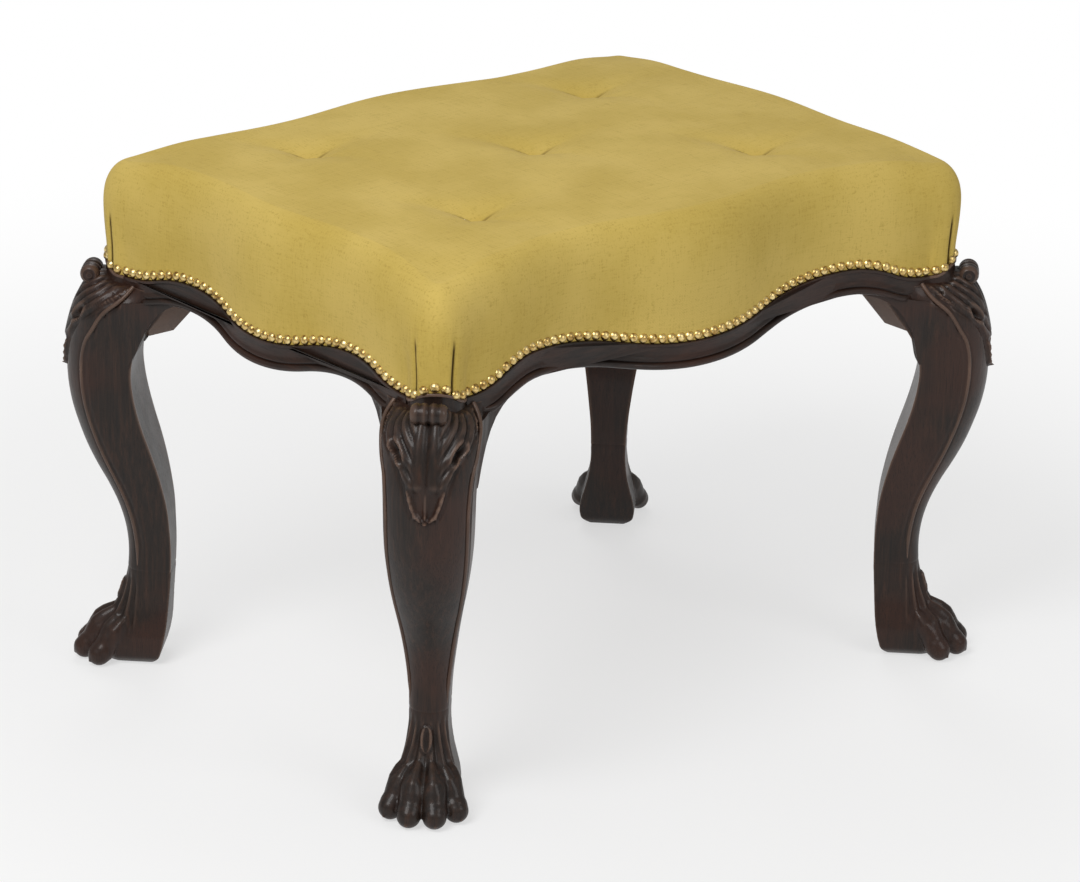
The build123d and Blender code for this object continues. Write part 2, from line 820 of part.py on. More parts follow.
def write(solid, name):
    solid.label = name
    export_step(solid, f"parts/{name}.step")


corners = {
    "back_right": (False, False),
    "back_left": (True, False),
    "front_right": (False, True),
    "front_left": (True, True),
}
os.makedirs("parts", exist_ok=True)
for corner, flips in corners.items():
    write(mirrored(leg_blank.part, *flips), f"leg_{corner}")
    write(mirrored(knee_bracket("long"), *flips), f"knee_bracket_{corner}_long")
    write(mirrored(knee_bracket("short"), *flips), f"knee_bracket_{corner}_short")
    write(mirrored(corner_brace.part, *flips), f"corner_brace_{corner}")
write(long_rail, "rail_back")
write(mirrored(long_rail, False, True), "rail_front")
write(short_rail, "rail_right")
write(mirrored(short_rail, True, False), "rail_left")
write(Part(children=four_corners(corner_pegs)), "tenon_pegs")
write(Part(children=four_corners(corner_screws)), "brace_screws")
write(long_webs, "webbing_lengthwise")
write(cross_webs, "webbing_crosswise")
write(webbing_tacks, "webbing_tacks")
write(hessian.part, "base_hessian")
write(first_stuffing.part, "first_stuffing")
write(second_stuffing.part, "second_stuffing")
write(muslin.part, "muslin_undercover")
write(top_cover, "top_cover")
write(Part(children=tuft_twines), "tuft_twines")
write(tabs.part, "tuft_tabs")
for side, places in nail_rows.items():
    write(nail_row(places), f"nails_{side}")
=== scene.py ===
import bpy
import numpy as np
from math import atan2, cos, hypot, pi, radians, sin, sqrt
from mathutils import Matrix, Vector


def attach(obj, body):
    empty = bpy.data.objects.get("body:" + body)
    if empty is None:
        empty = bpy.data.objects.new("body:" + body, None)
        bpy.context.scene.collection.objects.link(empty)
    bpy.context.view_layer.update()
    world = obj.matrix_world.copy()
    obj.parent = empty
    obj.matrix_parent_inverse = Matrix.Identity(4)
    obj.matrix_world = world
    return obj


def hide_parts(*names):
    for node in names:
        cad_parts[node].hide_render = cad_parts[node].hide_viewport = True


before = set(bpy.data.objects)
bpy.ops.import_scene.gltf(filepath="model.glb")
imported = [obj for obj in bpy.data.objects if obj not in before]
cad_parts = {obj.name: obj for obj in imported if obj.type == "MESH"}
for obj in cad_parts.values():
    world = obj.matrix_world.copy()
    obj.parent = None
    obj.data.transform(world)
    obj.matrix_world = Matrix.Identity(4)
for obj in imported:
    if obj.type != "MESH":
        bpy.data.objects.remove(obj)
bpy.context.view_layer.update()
mm = 0.001


# The view: a long lens from above the near corner, as the stool was photographed.
# Azimuth and elevation are those of the camera round the stool, and the roll levels the floor.
azimuth, elevation, roll = radians(-41.19), radians(20.15), radians(1.44)
aim = Vector((-25.4, -43.2, 214.0)) * mm
camera_distance = 3962 * mm
right = Vector((cos(azimuth), sin(azimuth), 0))
back = Vector((sin(azimuth) * cos(elevation), -cos(azimuth) * cos(elevation), sin(elevation)))
up = back.cross(right)
right, up = cos(roll) * right + sin(roll) * up, cos(roll) * up - sin(roll) * right
bpy.ops.object.select_all(action="DESELECT")
bpy.ops.object.camera_add()
camera = bpy.context.object
camera.name = "camera"
turned = Matrix((right, up, back)).transposed().to_4x4()
camera.matrix_world = Matrix.Translation(aim + back * camera_distance) @ turned
camera.data.sensor_width = 36
camera.data.lens = 155.1
camera.data.clip_end = 100
bpy.context.scene.camera = camera
bpy.context.scene.view_settings.view_transform = "Standard"


# The room: a pale floor under three soft lamps, and a white surround. The camera sees both
# brighter than they light the stool, so that it keeps a plain level of light.
class Value:
    """One output of a material's nodes, so that sums of values add Math nodes."""

    def __init__(self, finish, socket):
        self.finish, self.socket = finish, socket

    def maths(self, operation, *others):
        return self.finish.node("ShaderNodeMath", {"operation": operation}, *others)

    def __add__(self, other):
        return self.maths("ADD", self, other)

    def __sub__(self, other):
        return self.maths("SUBTRACT", self, other)

    def __rsub__(self, other):
        return self.maths("SUBTRACT", other, self)

    def __mul__(self, other):
        return self.maths("MULTIPLY", self, other)

    def __truediv__(self, other):
        return self.maths("DIVIDE", self, other)

    def __pow__(self, other):
        return self.maths("POWER", self, other)

    def __abs__(self):
        return self.maths("ABSOLUTE", self)

    __radd__ = __add__

    def wave(self):
        return self.maths("SINE", self)

    def clear_step(self, low, high):
        """0 below low, 1 above high, with a soft rise between them."""
        soft = {"interpolation_type": "SMOOTHSTEP"}
        return self.finish.node("ShaderNodeMapRange", soft, self, low, high, 0.0, 1.0)


class Finish:
    """A material and the one method that adds its nodes."""

    def __init__(self, name):
        self.material = bpy.data.materials.new(name)
        self.material.use_nodes = True
        self.nodes = self.material.node_tree.nodes
        self.links = self.material.node_tree.links
        self.shader = self.nodes["Principled BSDF"]
        self.place = self.node("ShaderNodeTexCoord", out="Object")
        self.own = self.node("ShaderNodeTexCoord", out="UV")

    def join(self, socket, value):
        if isinstance(value, Value):
            self.links.new(value.socket, socket)
        else:
            socket.default_value = value

    def node(self, kind, settings=None, *values, out=0, **named):
        node = self.nodes.new(kind)
        for key, value in (settings or {}).items():
            setattr(node, key, value)
        for socket, value in zip(node.inputs, values):
            self.join(socket, value)
        for key, value in named.items():
            self.join(node.inputs[key.replace("_", " ")], value)
        return Value(self, node.outputs[out])

    def parts_of(self, vector):
        """The x, y and z of a vector."""
        split = self.node("ShaderNodeSeparateXYZ", {}, vector)
        return [Value(self, output) for output in split.socket.node.outputs]

    def stretched(self, x, y, z):
        """The piece's own place, scaled along each axis, in units per metre."""
        return self.node("ShaderNodeMapping", {}, Vector=self.place, Scale=(x, y, z))

    def noise(self, place, scale=1.0, detail=3.0, roughness=0.5):
        named = {"Vector": place, "Scale": scale, "Detail": detail, "Roughness": roughness}
        return self.node("ShaderNodeTexNoise", **named)

    def mix(self, factor, one, other):
        node = self.nodes.new("ShaderNodeMix")
        node.data_type = "RGBA"
        for socket, value in zip((node.inputs[0], node.inputs[6], node.inputs[7]), (factor, one, other)):
            self.join(socket, value)
        return Value(self, node.outputs[2])

    def ramp(self, value, *stops):
        node = self.nodes.new("ShaderNodeValToRGB")
        self.join(node.inputs[0], value)
        elements = node.color_ramp.elements
        while len(elements) < len(stops):
            elements.new(0.5)
        for element, (position, colour) in zip(elements, stops):
            element.position, element.color = position, colour
        return Value(self, node.outputs[0])

    def bump(self, height, depth, under=None):
        """Bump from a height of 0 to 1 that is worth a depth in metres."""
        named = {"Height": height, "Distance": depth, "Strength": 1.0}
        if under is not None:
            named["Normal"] = under
        return self.node("ShaderNodeBump", {}, **named)

    def set(self, **named):
        for key, value in named.items():
            self.join(self.shader.inputs[key.replace("_", " ")], value)
        return self.material


def tone(*parts):
    """A colour seen on a screen, as the linear colour that a shader takes."""
    parts = [part / 255 for part in parts]
    return (*[part / 12.92 if part < 0.0405 else ((part + 0.055) / 1.055) ** 2.4 for part in parts], 1.0)


def blend_shaders(tree, factor, one, other, output):
    """Mixes two shaders by a factor into a tree's output."""
    blend = tree.nodes.new("ShaderNodeMixShader")
    for source, socket in zip((factor, one.outputs[0], other.outputs[0]), blend.inputs):
        tree.links.new(source, socket)
    tree.links.new(blend.outputs[0], tree.nodes[output].inputs["Surface"])


bpy.ops.object.select_all(action="DESELECT")
bpy.ops.mesh.primitive_plane_add(size=14)
floor = bpy.context.object
floor.name = "floor"
bpy.ops.object.mode_set(mode="EDIT")
bpy.ops.mesh.subdivide(number_cuts=6)
bpy.ops.object.mode_set(mode="OBJECT")
paper = Finish("pale_floor")
paper.set(Base_Color=tone(232, 232, 232), Roughness=0.9)
rays = paper.nodes.new("ShaderNodeLightPath").outputs
seen = Value(paper, rays["Is Camera Ray"]) + Value(paper, rays["Is Glossy Ray"])
share = seen.maths("MINIMUM", seen + Value(paper, rays["Is Transmission Ray"]), 1.0)
away = paper.node("ShaderNodeVectorMath", {"operation": "LENGTH"}, paper.place, out="Value")
under_stool = 0.60
share = share * (under_stool + away.clear_step(0.45, 1.5) * (1 - under_stool))
glow = paper.nodes.new("ShaderNodeEmission")
glow.inputs["Color"].default_value = (1, 1, 1, 1)
blend_shaders(paper.material.node_tree, share.socket, paper.shader, glow, "Material Output")
floor.data.materials.append(paper.material)

world = bpy.data.worlds.new("studio")
world.use_nodes = True
bpy.context.scene.world = world
nodes = world.node_tree.nodes
around, white = nodes["Background"], nodes.new("ShaderNodeBackground")
for surround, strength in ((around, 0.40), (white, 1.0)):
    surround.inputs["Color"].default_value = (1, 1, 1, 1)
    surround.inputs["Strength"].default_value = strength
rays = nodes.new("ShaderNodeLightPath").outputs
blend_shaders(world.node_tree, rays["Is Camera Ray"], around, white, "World Output")

for name, place, size, power in (
    ("window_lamp", (-1.9, -0.6, 2.3), 1.5, 44),
    ("front_lamp", (0.4, -2.6, 1.7), 1.6, 17),
    ("back_lamp", (1.2, 1.9, 2.4), 1.4, 16),
):
    bpy.ops.object.light_add(type="AREA", location=place)
    lamp = bpy.context.object
    lamp.name = name
    lamp.data.shape = "DISK"
    lamp.data.size = size
    lamp.data.energy = power
    lamp.rotation_euler = (Vector((0, 0, 0.25)) - Vector(place)).to_track_quat("-Z", "Y").to_euler()


# The rails: four lengths of mahogany with a serpentine face, sawn to a shaped lower edge, and
# the brackets glued under their ends. The wood is old and waxed nearly black; on carved pieces its raised edges are
# painted lighter, partly as real rubbing and partly as painted highlight.
def mahogany(name, along, wear_and_highlight=0.0):
    """Dark waxed wood with its grain along one axis; the wear share paints the raised edges of a carved piece lighter,
    partly as real rubbing and partly as painted highlight, and darkens its hollows.
    """
    wood = Finish(name)
    lengthways = [260, 260, 260]
    lengthways["xyz".index(along)] = 9
    grain = wood.noise(wood.stretched(*lengthways), detail=5, roughness=0.62)
    pores = wood.noise(wood.stretched(*[value * 5 for value in lengthways]), detail=2)
    cloud = wood.noise(wood.place, 14, 3)
    dark = wood.ramp(grain, (0.30, tone(20, 13, 9)), (0.52, tone(35, 23, 16)), (0.74, tone(56, 35, 24)))
    warm = wood.mix(cloud.clear_step(0.42, 0.66) * 0.6, dark, tone(56, 30, 19))
    colour = wood.mix(pores.clear_step(0.30, 0.48), wood.mix(0.45, warm, tone(18, 12, 10)), warm)
    smears = wood.noise(wood.place, 38, 4)
    gloss = 0.38 + smears * 0.22 + (1 - pores.clear_step(0.3, 0.5)) * 0.10
    if wear_and_highlight:
        shape = wood.node("ShaderNodeNewGeometry", out="Pointiness")
        raised = shape.clear_step(0.508, 0.58) * (0.5 + smears)
        hollow = 1 - shape.clear_step(0.40, 0.492)
        # Raised edges take a lighter greyish brown: partly real rubbing of the wax, partly painted highlight.
        colour = wood.mix(raised * wear_and_highlight, colour, tone(112, 88, 74))
        # The hollows of the carving are painted darker.
        colour = wood.mix(hollow * 0.85, colour, tone(10, 7, 6))
        gloss = gloss + hollow * 0.25
    normal = wood.bump(pores * 0.5 + grain, 0.00012, wood.bump(smears, 0.0005))
    return wood.set(Base_Color=colour, Roughness=gloss, Normal=normal, Coat_Weight=0.22, Coat_Roughness=0.17,
                    Specular_IOR_Level=0.25)


def repaint(material, *names):
    """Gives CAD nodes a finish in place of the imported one."""
    for name in names:
        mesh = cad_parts[name].data
        mesh.materials.clear()
        mesh.materials.append(material)


corners = {"back_right": (1, 1), "back_left": (-1, 1), "front_right": (1, -1), "front_left": (-1, -1)}
long_wood = mahogany("mahogany_along_x", "x")
short_wood = mahogany("mahogany_along_y", "y")
repaint(long_wood, "rail_front", "rail_back")
repaint(short_wood, "rail_left", "rail_right")


# The moulding along the lower edge of the rails: a fillet under the nails, a hollow, and a
# bead. It is worked on the rails themselves and returns round each knee as a plain hollow.
side_reach = {"long": 218.0, "short": 291.5}
side_end = {"long": 256.5, "short": 188.0}
swell = {"long": 1.0, "short": 3.0}
hollow = {"long": 18.0, "short": 8.5}
edge_middle, edge_end, corner_peak, show_wood = 350.0, 353.0, 363.0, 21.5
edge_peak = {"long": 370.5, "short": 364.5}
peak_share = {"long": 0.68, "short": 0.58}
corner_rise = 21.0
chord = hypot(side_reach["short"] - side_end["long"], side_reach["long"] - side_end["short"])
corner_radius = (chord**2 / 4 + corner_rise**2) / (2 * corner_rise)
corner_out = Vector((side_reach["long"] - side_end["short"], side_reach["short"] - side_end["long"])).normalized()
chord_middle = Vector((side_reach["short"] + side_end["long"], side_reach["long"] + side_end["short"])) / 2
corner_centre = chord_middle + corner_out * (corner_rise - corner_radius)
corner_along = Vector((-corner_out.y, corner_out.x))


def wave_at(points, along):
    """Height at a place along a line of tangent arcs through its high and low points."""
    for start, end in zip(points, points[1:]):
        if start[0] <= along <= end[0]:
            run, rise = (end[0] - start[0]) / 2, (end[1] - start[1]) / 2
            if rise == 0:
                return start[1]
            radius = (run**2 + rise**2) / (2 * abs(rise))
            near, sign = (start, 1) if along - start[0] <= run else (end, -1)
            drop = radius - sqrt(radius**2 - (along - near[0]) ** 2)
            return near[1] + sign * (drop if rise > 0 else -drop)
    return points[0][1] if along < points[0][0] else points[-1][1]


def side_line(kind, end, reach):
    """The high and low points of a side's serpentine plan."""
    return [(-end, reach), (-end / 2, reach - hollow[kind]), (0, reach + swell[kind]),
            (end / 2, reach - hollow[kind]), (end, reach)]


def in_plan(kind, along, out, height):
    """A point from how far along a long or a short side it lies, and how far out."""
    return (along, out, height) if kind == "long" else (out, along, height)


def edge_at(kind, along):
    """Height of the edge between cloth and wood, along a side or a corner."""
    if kind == "corner":
        return wave_at([(-chord / 2, edge_end), (0, corner_peak), (chord / 2, edge_end)], along)
    end, top = side_end[kind], edge_peak[kind]
    peak = peak_share[kind] * end
    return wave_at([(-end, edge_end), (-peak, top), (0, edge_middle), (peak, top), (end, edge_end)], along)


def seat_ring(inset, corner_steps, long_steps, short_steps):
    """Points round the seat at an inset, from the back right corner by way of the back, each at the edge's height."""
    radius = corner_radius - inset
    across = side_reach["short"] - inset - corner_centre.x, side_reach["long"] - inset - corner_centre.y
    ends = {
        "short": corner_centre.y - sqrt(radius**2 - across[0] ** 2),
        "long": corner_centre.x - sqrt(radius**2 - across[1] ** 2),
    }
    tip = atan2(corner_out.y, corner_out.x)
    turns = {
        "long": atan2(across[1], ends["long"] - corner_centre.x),
        "short": atan2(ends["short"] - corner_centre.y, across[0]),
    }
    points = []

    def turn_to(kind, sign_x, sign_y, outward):
        """Half of a rounded corner, between its tip and the end of a side."""
        for step in range(corner_steps):
            share = step / corner_steps if outward else 1 - step / corner_steps
            angle = tip + (turns[kind] - tip) * share
            x = corner_centre.x + radius * cos(angle)
            y = corner_centre.y + radius * sin(angle)
            along = (Vector((x, y)) - chord_middle).dot(corner_along)
            points.append((sign_x * x, sign_y * y, edge_at("corner", along)))

    for turn in (1, -1):
        for kind, steps in (("long", long_steps), ("short", short_steps)):
            end, reach = ends[kind], side_reach[kind] - inset
            line = side_line(kind, end, reach)
            first = (turn, turn) if kind == "long" else (-turn, turn)
            second = (-turn, turn) if kind == "long" else (-turn, -turn)
            turn_to(kind, *first, True)
            for step in range(steps):
                along = end * (1 - 2 * step / steps)
                out = wave_at(line, along)
                height = edge_at(kind, along * side_end[kind] / end)
                side = turn if kind == "long" else -turn
                points.append(in_plan(kind, turn * along, side * out, height))
            turn_to(kind, *second, False)
    return np.array(points)


def sheet_of_points(name, points, around=False, ends=False):
    """Grid shaped to rows of points in millimetres; around joins each row into a ring, ends closes the tube."""
    rows, columns = points.shape[:2]
    bpy.ops.object.select_all(action="DESELECT")
    bpy.ops.mesh.primitive_grid_add(x_subdivisions=columns - 1, y_subdivisions=rows - 1, size=1)
    piece = bpy.context.object
    piece.name = name
    piece.data.name = name
    piece.data.vertices.foreach_set("co", (points.reshape(-1, 3) * mm).ravel())
    bpy.ops.object.mode_set(mode="EDIT")
    bpy.ops.mesh.select_all(action="SELECT")
    if around:
        bpy.ops.mesh.remove_doubles(threshold=1e-6)
    if ends:
        bpy.ops.mesh.select_all(action="DESELECT")
        bpy.ops.mesh.select_mode(type="EDGE")
        bpy.ops.mesh.select_non_manifold(
            extend=False, use_wire=False, use_multi_face=False, use_non_contiguous=False, use_verts=False)
        bpy.ops.mesh.edge_face_add()
        bpy.ops.mesh.select_mode(type="VERT")
        bpy.ops.mesh.select_all(action="SELECT")
    bpy.ops.mesh.normals_make_consistent(inside=False)
    bpy.ops.object.mode_set(mode="OBJECT")
    return piece


def pick(*pieces):
    """Selects these pieces alone, with the first one active."""
    bpy.ops.object.select_all(action="DESELECT")
    for piece in pieces:
        piece.select_set(True)
    bpy.context.view_layer.objects.active = pieces[0]


def finish_piece(piece, material, slot, *nodes, smooth=60):
    """Gives a piece its finish and smooth shading, hides the CAD nodes that it stands for, and hangs it on the body it
    rides on; the slot is not used.
    """
    pick(piece)
    bpy.ops.object.shade_smooth_by_angle(angle=radians(smooth))
    piece.data.materials.clear()
    piece.data.materials.append(material)
    if nodes:
        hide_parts(*nodes)
    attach(piece, "root")
    return piece


def soft_step(value, low, high):
    share = np.clip((value - low) / (high - low), 0, 1)
    return share * share * (3 - 2 * share)


moulding_profile = [  # share of the show wood's height down from the cloth, and distance out from the rail
    (0.00, -1.5), (0.00, 1.0), (0.02, 1.6), (0.12, 1.6), (0.15, 0.5), (0.24, 0.25), (0.42, 0.25), (0.56, 0.8),
    (0.64, 1.7), (0.68, 1.7), (0.70, 0.3), (0.735, 0.3), (0.76, 2.6), (0.80, 3.8), (0.86, 4.4), (0.92, 4.3),
    (0.98, 3.4), (1.02, 1.6), (1.03, 0.0), (1.03, -1.5),
]
moulding_steps, fillet_out, bead_down = 150, 0.3, 0.6
for name, kind, sign in (
    ("moulding_front", "long", -1), ("moulding_back", "long", 1), ("moulding_left", "short", -1),
    ("moulding_right", "short", 1)
):
    end = side_end[kind]
    line = side_line(kind, end, side_reach[kind])
    rows = []
    for down, out in moulding_profile:
        row = []
        for step in range(moulding_steps + 1):
            along = end * (2 * step / moulding_steps - 1)
            slope = (wave_at(line, min(along + 1, end)) - wave_at(line, max(along - 1, -end))) / 2
            bead_share = 1 - soft_step(abs(along), end - 30, end - 17) if down > bead_down else 1
            stands_out = min(out, fillet_out) + max(out - fillet_out, 0) * bead_share
            place = Vector((along, wave_at(line, along))) + Vector((-slope, 1)).normalized() * stands_out
            height = edge_at(kind, along) - show_wood * down
            row.append(in_plan(kind, max(-end, min(end, place.x)), sign * place.y, height))
        rows.append(row)
    strip = sheet_of_points(name, np.array(rows), ends=True)
    finish_piece(strip, long_wood if kind == "long" else short_wood, "mahogany", smooth=32)


# The legs: four cabriole legs carved from solid mahogany and set on the diagonals. Each has a
# leaf down the knee, a small scroll under the seat, a beaded groove on both sides and a paw foot.
ankle = (265.0, 190.0)
leg_stations = np.array([  # height, outer reach and inner reach along the diagonal, half width
    (30.0, 30.0, -15.0, 19.0), (50.0, 26.0, -18.0, 17.5), (66.0, 22.0, -19.0, 16.4), (84.0, 19.4, -19.8, 16.2),
    (106.0, 18.8, -20.2, 17.2), (124.0, 21.2, -19.4, 19.2), (144.0, 27.2, -17.8, 21.8), (162.0, 35.4, -14.6, 24.6),
    (180.0, 45.2, -10.4, 27.8), (198.0, 53.8, -5.2, 30.6), (216.0, 60.4, 0.6, 32.8), (234.0, 65.8, 5.6, 34.2),
    (252.0, 69.0, 9.2, 34.9), (270.0, 70.2, 10.6, 35.3), (288.0, 70.2, 7.6, 36.0), (304.0, 67.4, -0.6, 37.4),
    (320.0, 63.2, -12.0, 39.0), (331.5, 59.6, -20.0, 39.8),
])
front_share = 0.34
row_gap, shaft_low, shaft_high = 1.6, 80.0, 331.5


def smooth_through(stations, heights):
    """Values between stations on smooth curves, one column for each quantity."""
    at = stations[:, 0]
    values = stations[:, 1:]
    slopes = np.gradient(values, at, axis=0)
    index = np.clip(np.searchsorted(at, heights) - 1, 0, len(at) - 2)
    gap = (at[index + 1] - at[index])[:, None]
    share = ((heights - at[index]) / (at[index + 1] - at[index]))[:, None]
    first = (2 * share**3 - 3 * share**2 + 1) * values[index] + (share**3 - 2 * share**2 + share) * gap * slopes[index]
    second = (3 * share**2 - 2 * share**3) * values[index + 1] + (share**3 - share**2) * gap * slopes[index + 1]
    return first + second

def leg_at(height):
    """Outer reach, inner reach and half width of the shaft at a height."""
    return smooth_through(leg_stations, np.array([height]))[0]


def front_arc(outer, inner, half):
    """Reach of the edge between the rounded front and a side, and the radius of the front."""
    shoulder = outer - (outer - inner) * front_share
    return shoulder, (half**2 + (outer - shoulder) ** 2) / (2 * (outer - shoulder))


def leg_ring(outer, inner, half, front_steps, side_steps, back_steps):
    """One cross section of a leg, with each point's distance round the front from its middle."""
    shoulder, radius = front_arc(outer, inner, half)
    sweep = atan2(half, radius - (outer - shoulder))
    arc = radius * sweep
    turns = [sweep * (2 * step / front_steps - 1) for step in range(front_steps + 1)]
    side = [shoulder + (inner - shoulder) * step / side_steps for step in range(1, side_steps + 1)]
    points = [(outer - radius + radius * cos(turn), radius * sin(turn), radius * turn) for turn in turns]
    points += [(reach, half, arc + shoulder - reach) for reach in side]
    points += [(inner, half * (1 - 2 * step / back_steps), arc * 4) for step in range(1, back_steps)]
    points += [(reach, -half, reach - arc - shoulder) for reach in reversed(side)]
    return np.array([*points, points[0]]), arc


def at_level(plan, height):
    """A plan's points at one height, or each at its own."""
    return np.column_stack((plan[:, :2], np.broadcast_to(height, len(plan))))


def bell(distance, width):
    """1 in the middle, with a soft fall to 0 on both sides."""
    return np.exp(-((distance / width) ** 2))


leaf_heights = [266, 268, 270.5, 275, 283, 295, 307, 316, 327, 340, 356]
leaf_widths = [0.0, 5.0, 9.0, 11.5, 14.5, 17.5, 22.5, 29.0, 42.0, 60.0, 70.0]


def knee_carving(around, height):
    """How far the carving stands out, at a distance round the front and a height: a leaf that fans out to
    the corners from a beaded cup, with a deep eye on each side."""
    away = np.abs(around)
    width = np.interp(height, leaf_heights, leaf_widths)
    leaf = soft_step(width - away, 0.0, 1.6)
    fan = soft_step(height, 288, 297)
    spine = bell(away, 2.0)
    strokes = np.abs(np.sin(pi * (height - 1.25 * away - 289) / 14.0)) ** 0.65
    outer = soft_step(away, 9.0, 12.5)
    top = 1.0 + fan * (2.9 * strokes * outer - 1.5 * outer + 1.9 * bell(away - 7.0, 4.2) - 1.7 * spine)
    beads = 0.8 + 0.2 * np.cos(2 * pi * height / 6.5)
    lip = 2.4 * bell(width - away - 2.6, 1.7) * beads
    cup = (1 - fan) * (lip - 2.8 * soft_step(width - away, 3.4, 6.2) + 1.8 * spine)
    rim = bell(height - 271.0, 2.0) * (0.9 + 0.8 * np.cos(2 * pi * away / 4.6)) * (away < 11)
    beside = bell(away - width - 1.8, 1.8) * (height < 330) * soft_step(height, 262, 269)
    eye_out, eye_height, eye_size = 26.0, 320.0, 4.4
    spot_out = (away - eye_out) / eye_size
    spot = spot_out**2 + ((height - eye_height) / eye_size - 0.5 * spot_out) ** 2
    eye = 5.0 * np.exp(-(spot**1.5)) - 1.3 * bell(np.sqrt(spot) - 1.75, 0.42)
    return leaf * (top + cup) + rim - eye - 1.1 * beside


def bead_reach(height):
    """Reach of the bead that comes off the rail and runs down the front edge of each side face."""
    drawn_in = np.interp(height, (296, 303, 309, 317, 324, 329, 331.5), (60, 46.5, 43, 39, 34, 30, 27))
    return min(front_arc(*leg_at(height))[0] + 3.2, float(drawn_in))


def shaft_carving(around, height, arc):
    """The quirks beside the bead of each side face."""
    past_bead = np.abs(around) - arc - front_arc(*leg_at(height))[0] + bead_reach(height)
    quirks = -1.3 * bell(past_bead - 3.0, 1.2) - 0.7 * bell(past_bead + 2.8, 1.0)
    return quirks * (np.abs(around) < arc * 3.9) * soft_step(height, 92, 112)


def across_leg(x, y):
    """A place in plan, along the leg's diagonal and across it."""
    x, y = x - ankle[0], y - ankle[1]
    return (x + y) / sqrt(2), (y - x) / sqrt(2)


def corner_path(inset, steps):
    """Plan of a rounded corner at an inset, in the leg's own directions, with the distance along it."""
    radius = corner_radius - inset
    tip = atan2(corner_out.y, corner_out.x)
    sweep = atan2(chord / 2, corner_radius - corner_rise)
    path = []
    for step in range(steps + 1):
        share = 2 * step / steps - 1
        angle = tip + sweep * share
        x, y = corner_centre.x + radius * cos(angle), corner_centre.y + radius * sin(angle)
        path.append((*across_leg(x, y), chord / 2 * share))
    return np.array(path)


heights = np.append(np.arange(shaft_low, shaft_high - 0.5, row_gap), shaft_high)
rows, places = [], []
for height, station in zip(heights, smooth_through(leg_stations, heights)):
    ring, arc = leg_ring(*station, 90, 22, 14)
    rows.append(at_level(ring, height))
    places.append((ring[:, 2], arc))
# Above the shaft the knee slopes in and up to the moulding under the nails.
rim = corner_path(-0.5, 60)[:, :2]
rim = np.vstack(((rim[0, 0] - 26, rim[0, 1] - 26), rim, (rim[-1, 0] - 26, rim[-1, 1] + 26)))
rim = np.vstack([np.linspace(one, other, 12) for one, other in zip(rim, rim[1:])])
near = rim[np.argmin(np.linalg.norm(ring[:, None, :2] - rim[None], axis=2), axis=1)]
outside = np.hypot(*ring[:, :2].T) > np.hypot(*near.T)
near = np.where((ring[:, :1] > near[:, :1] - 4) & outside[:, None], near, ring[:, :2])
for _ in range(14):
    near[:-1] = near[:-1] * 0.5 + (np.roll(near[:-1], 1, 0) + np.roll(near[:-1], -1, 0)) * 0.25
near[-1] = near[0]
middle = (1 - soft_step(np.abs(ring[:, 1]), 12, 36)) * (ring[:, 0] > 20)
for share in np.linspace(0, 1, 17)[1:]:
    climb = 15.0 * share**0.85 * (1 - middle) + 22.0 * share**0.6 * middle
    rows.append(at_level(ring[:, :2] * (1 - share) + near * share, shaft_high - 0.1 + climb))
    places.append(places[-1])
surface = np.array(rows)
shoulder = len(heights) - 1
near_shoulder = np.clip(1 - np.abs(np.arange(len(rows)) - shoulder) / 14.0, 0, 1)
ease = near_shoulder[1:-1, None, None] * (surface[0, :, 0] > 0)[None, :, None]
for _ in range(60):
    between = surface[:-2] * 0.25 + surface[1:-1] * 0.5 + surface[2:] * 0.25
    surface[1:-1] += (between - surface[1:-1]) * ease
along_ring = np.roll(surface[:, :-1], -1, 1) - np.roll(surface[:, :-1], 1, 1)
normals = np.cross(along_ring, np.gradient(surface[:, :-1], axis=0))
normals /= np.linalg.norm(normals, axis=2)[:, :, None] + 1e-9
for index, (around, arc) in enumerate(places):
    height = surface[index, :-1, 2]
    relief = knee_carving(around[:-1], height + max(index - shoulder, 0) * 0.3)
    relief = relief + shaft_carving(around[:-1], float(heights[min(index, shoulder)]), arc)
    relief = relief * (1 - soft_step(float(index), len(rows) - 5.0, len(rows) - 1.0))
    relief = relief - 1.6 * (1 - soft_step(height, shaft_low, shaft_low + 6.0))
    surface[index, :-1] += normals[index] * relief[:, None]
surface[:, -1] = surface[:, 0]
leg = sheet_of_points("carved_leg", surface, around=True, ends=True)


def ring_tube(name, path, radii, sides=20):
    """Round tube along a path in millimetres, for a toe, a claw or a bead."""
    rings = []
    for index, (centre, radius) in enumerate(zip(path, radii)):
        ahead = (Vector(path[min(index + 1, len(path) - 1)]) - Vector(path[max(index - 1, 0)])).normalized()
        across = ahead.cross(Vector((0, 0, 1))).normalized()
        over = across.cross(ahead)
        rings.append([
            Vector(centre) + (across * cos(2 * pi * step / sides) + over * sin(2 * pi * step / sides)) * radius
            for step in range(sides + 1)
        ])
    return sheet_of_points(name, np.array(rings), around=True, ends=True)


def joined(*pieces):
    """Joins pieces into the first one."""
    pick(*pieces)
    bpy.ops.object.join()
    return pieces[0]


def modify(piece, kind, **settings):
    """Adds a modifier to a piece and applies it."""
    modifier = piece.modifiers.new(kind.lower(), kind)
    for key, value in settings.items():
        setattr(modifier, key, value)
    bpy.context.view_layer.objects.active = piece
    bpy.ops.object.modifier_apply(modifier=modifier.name)


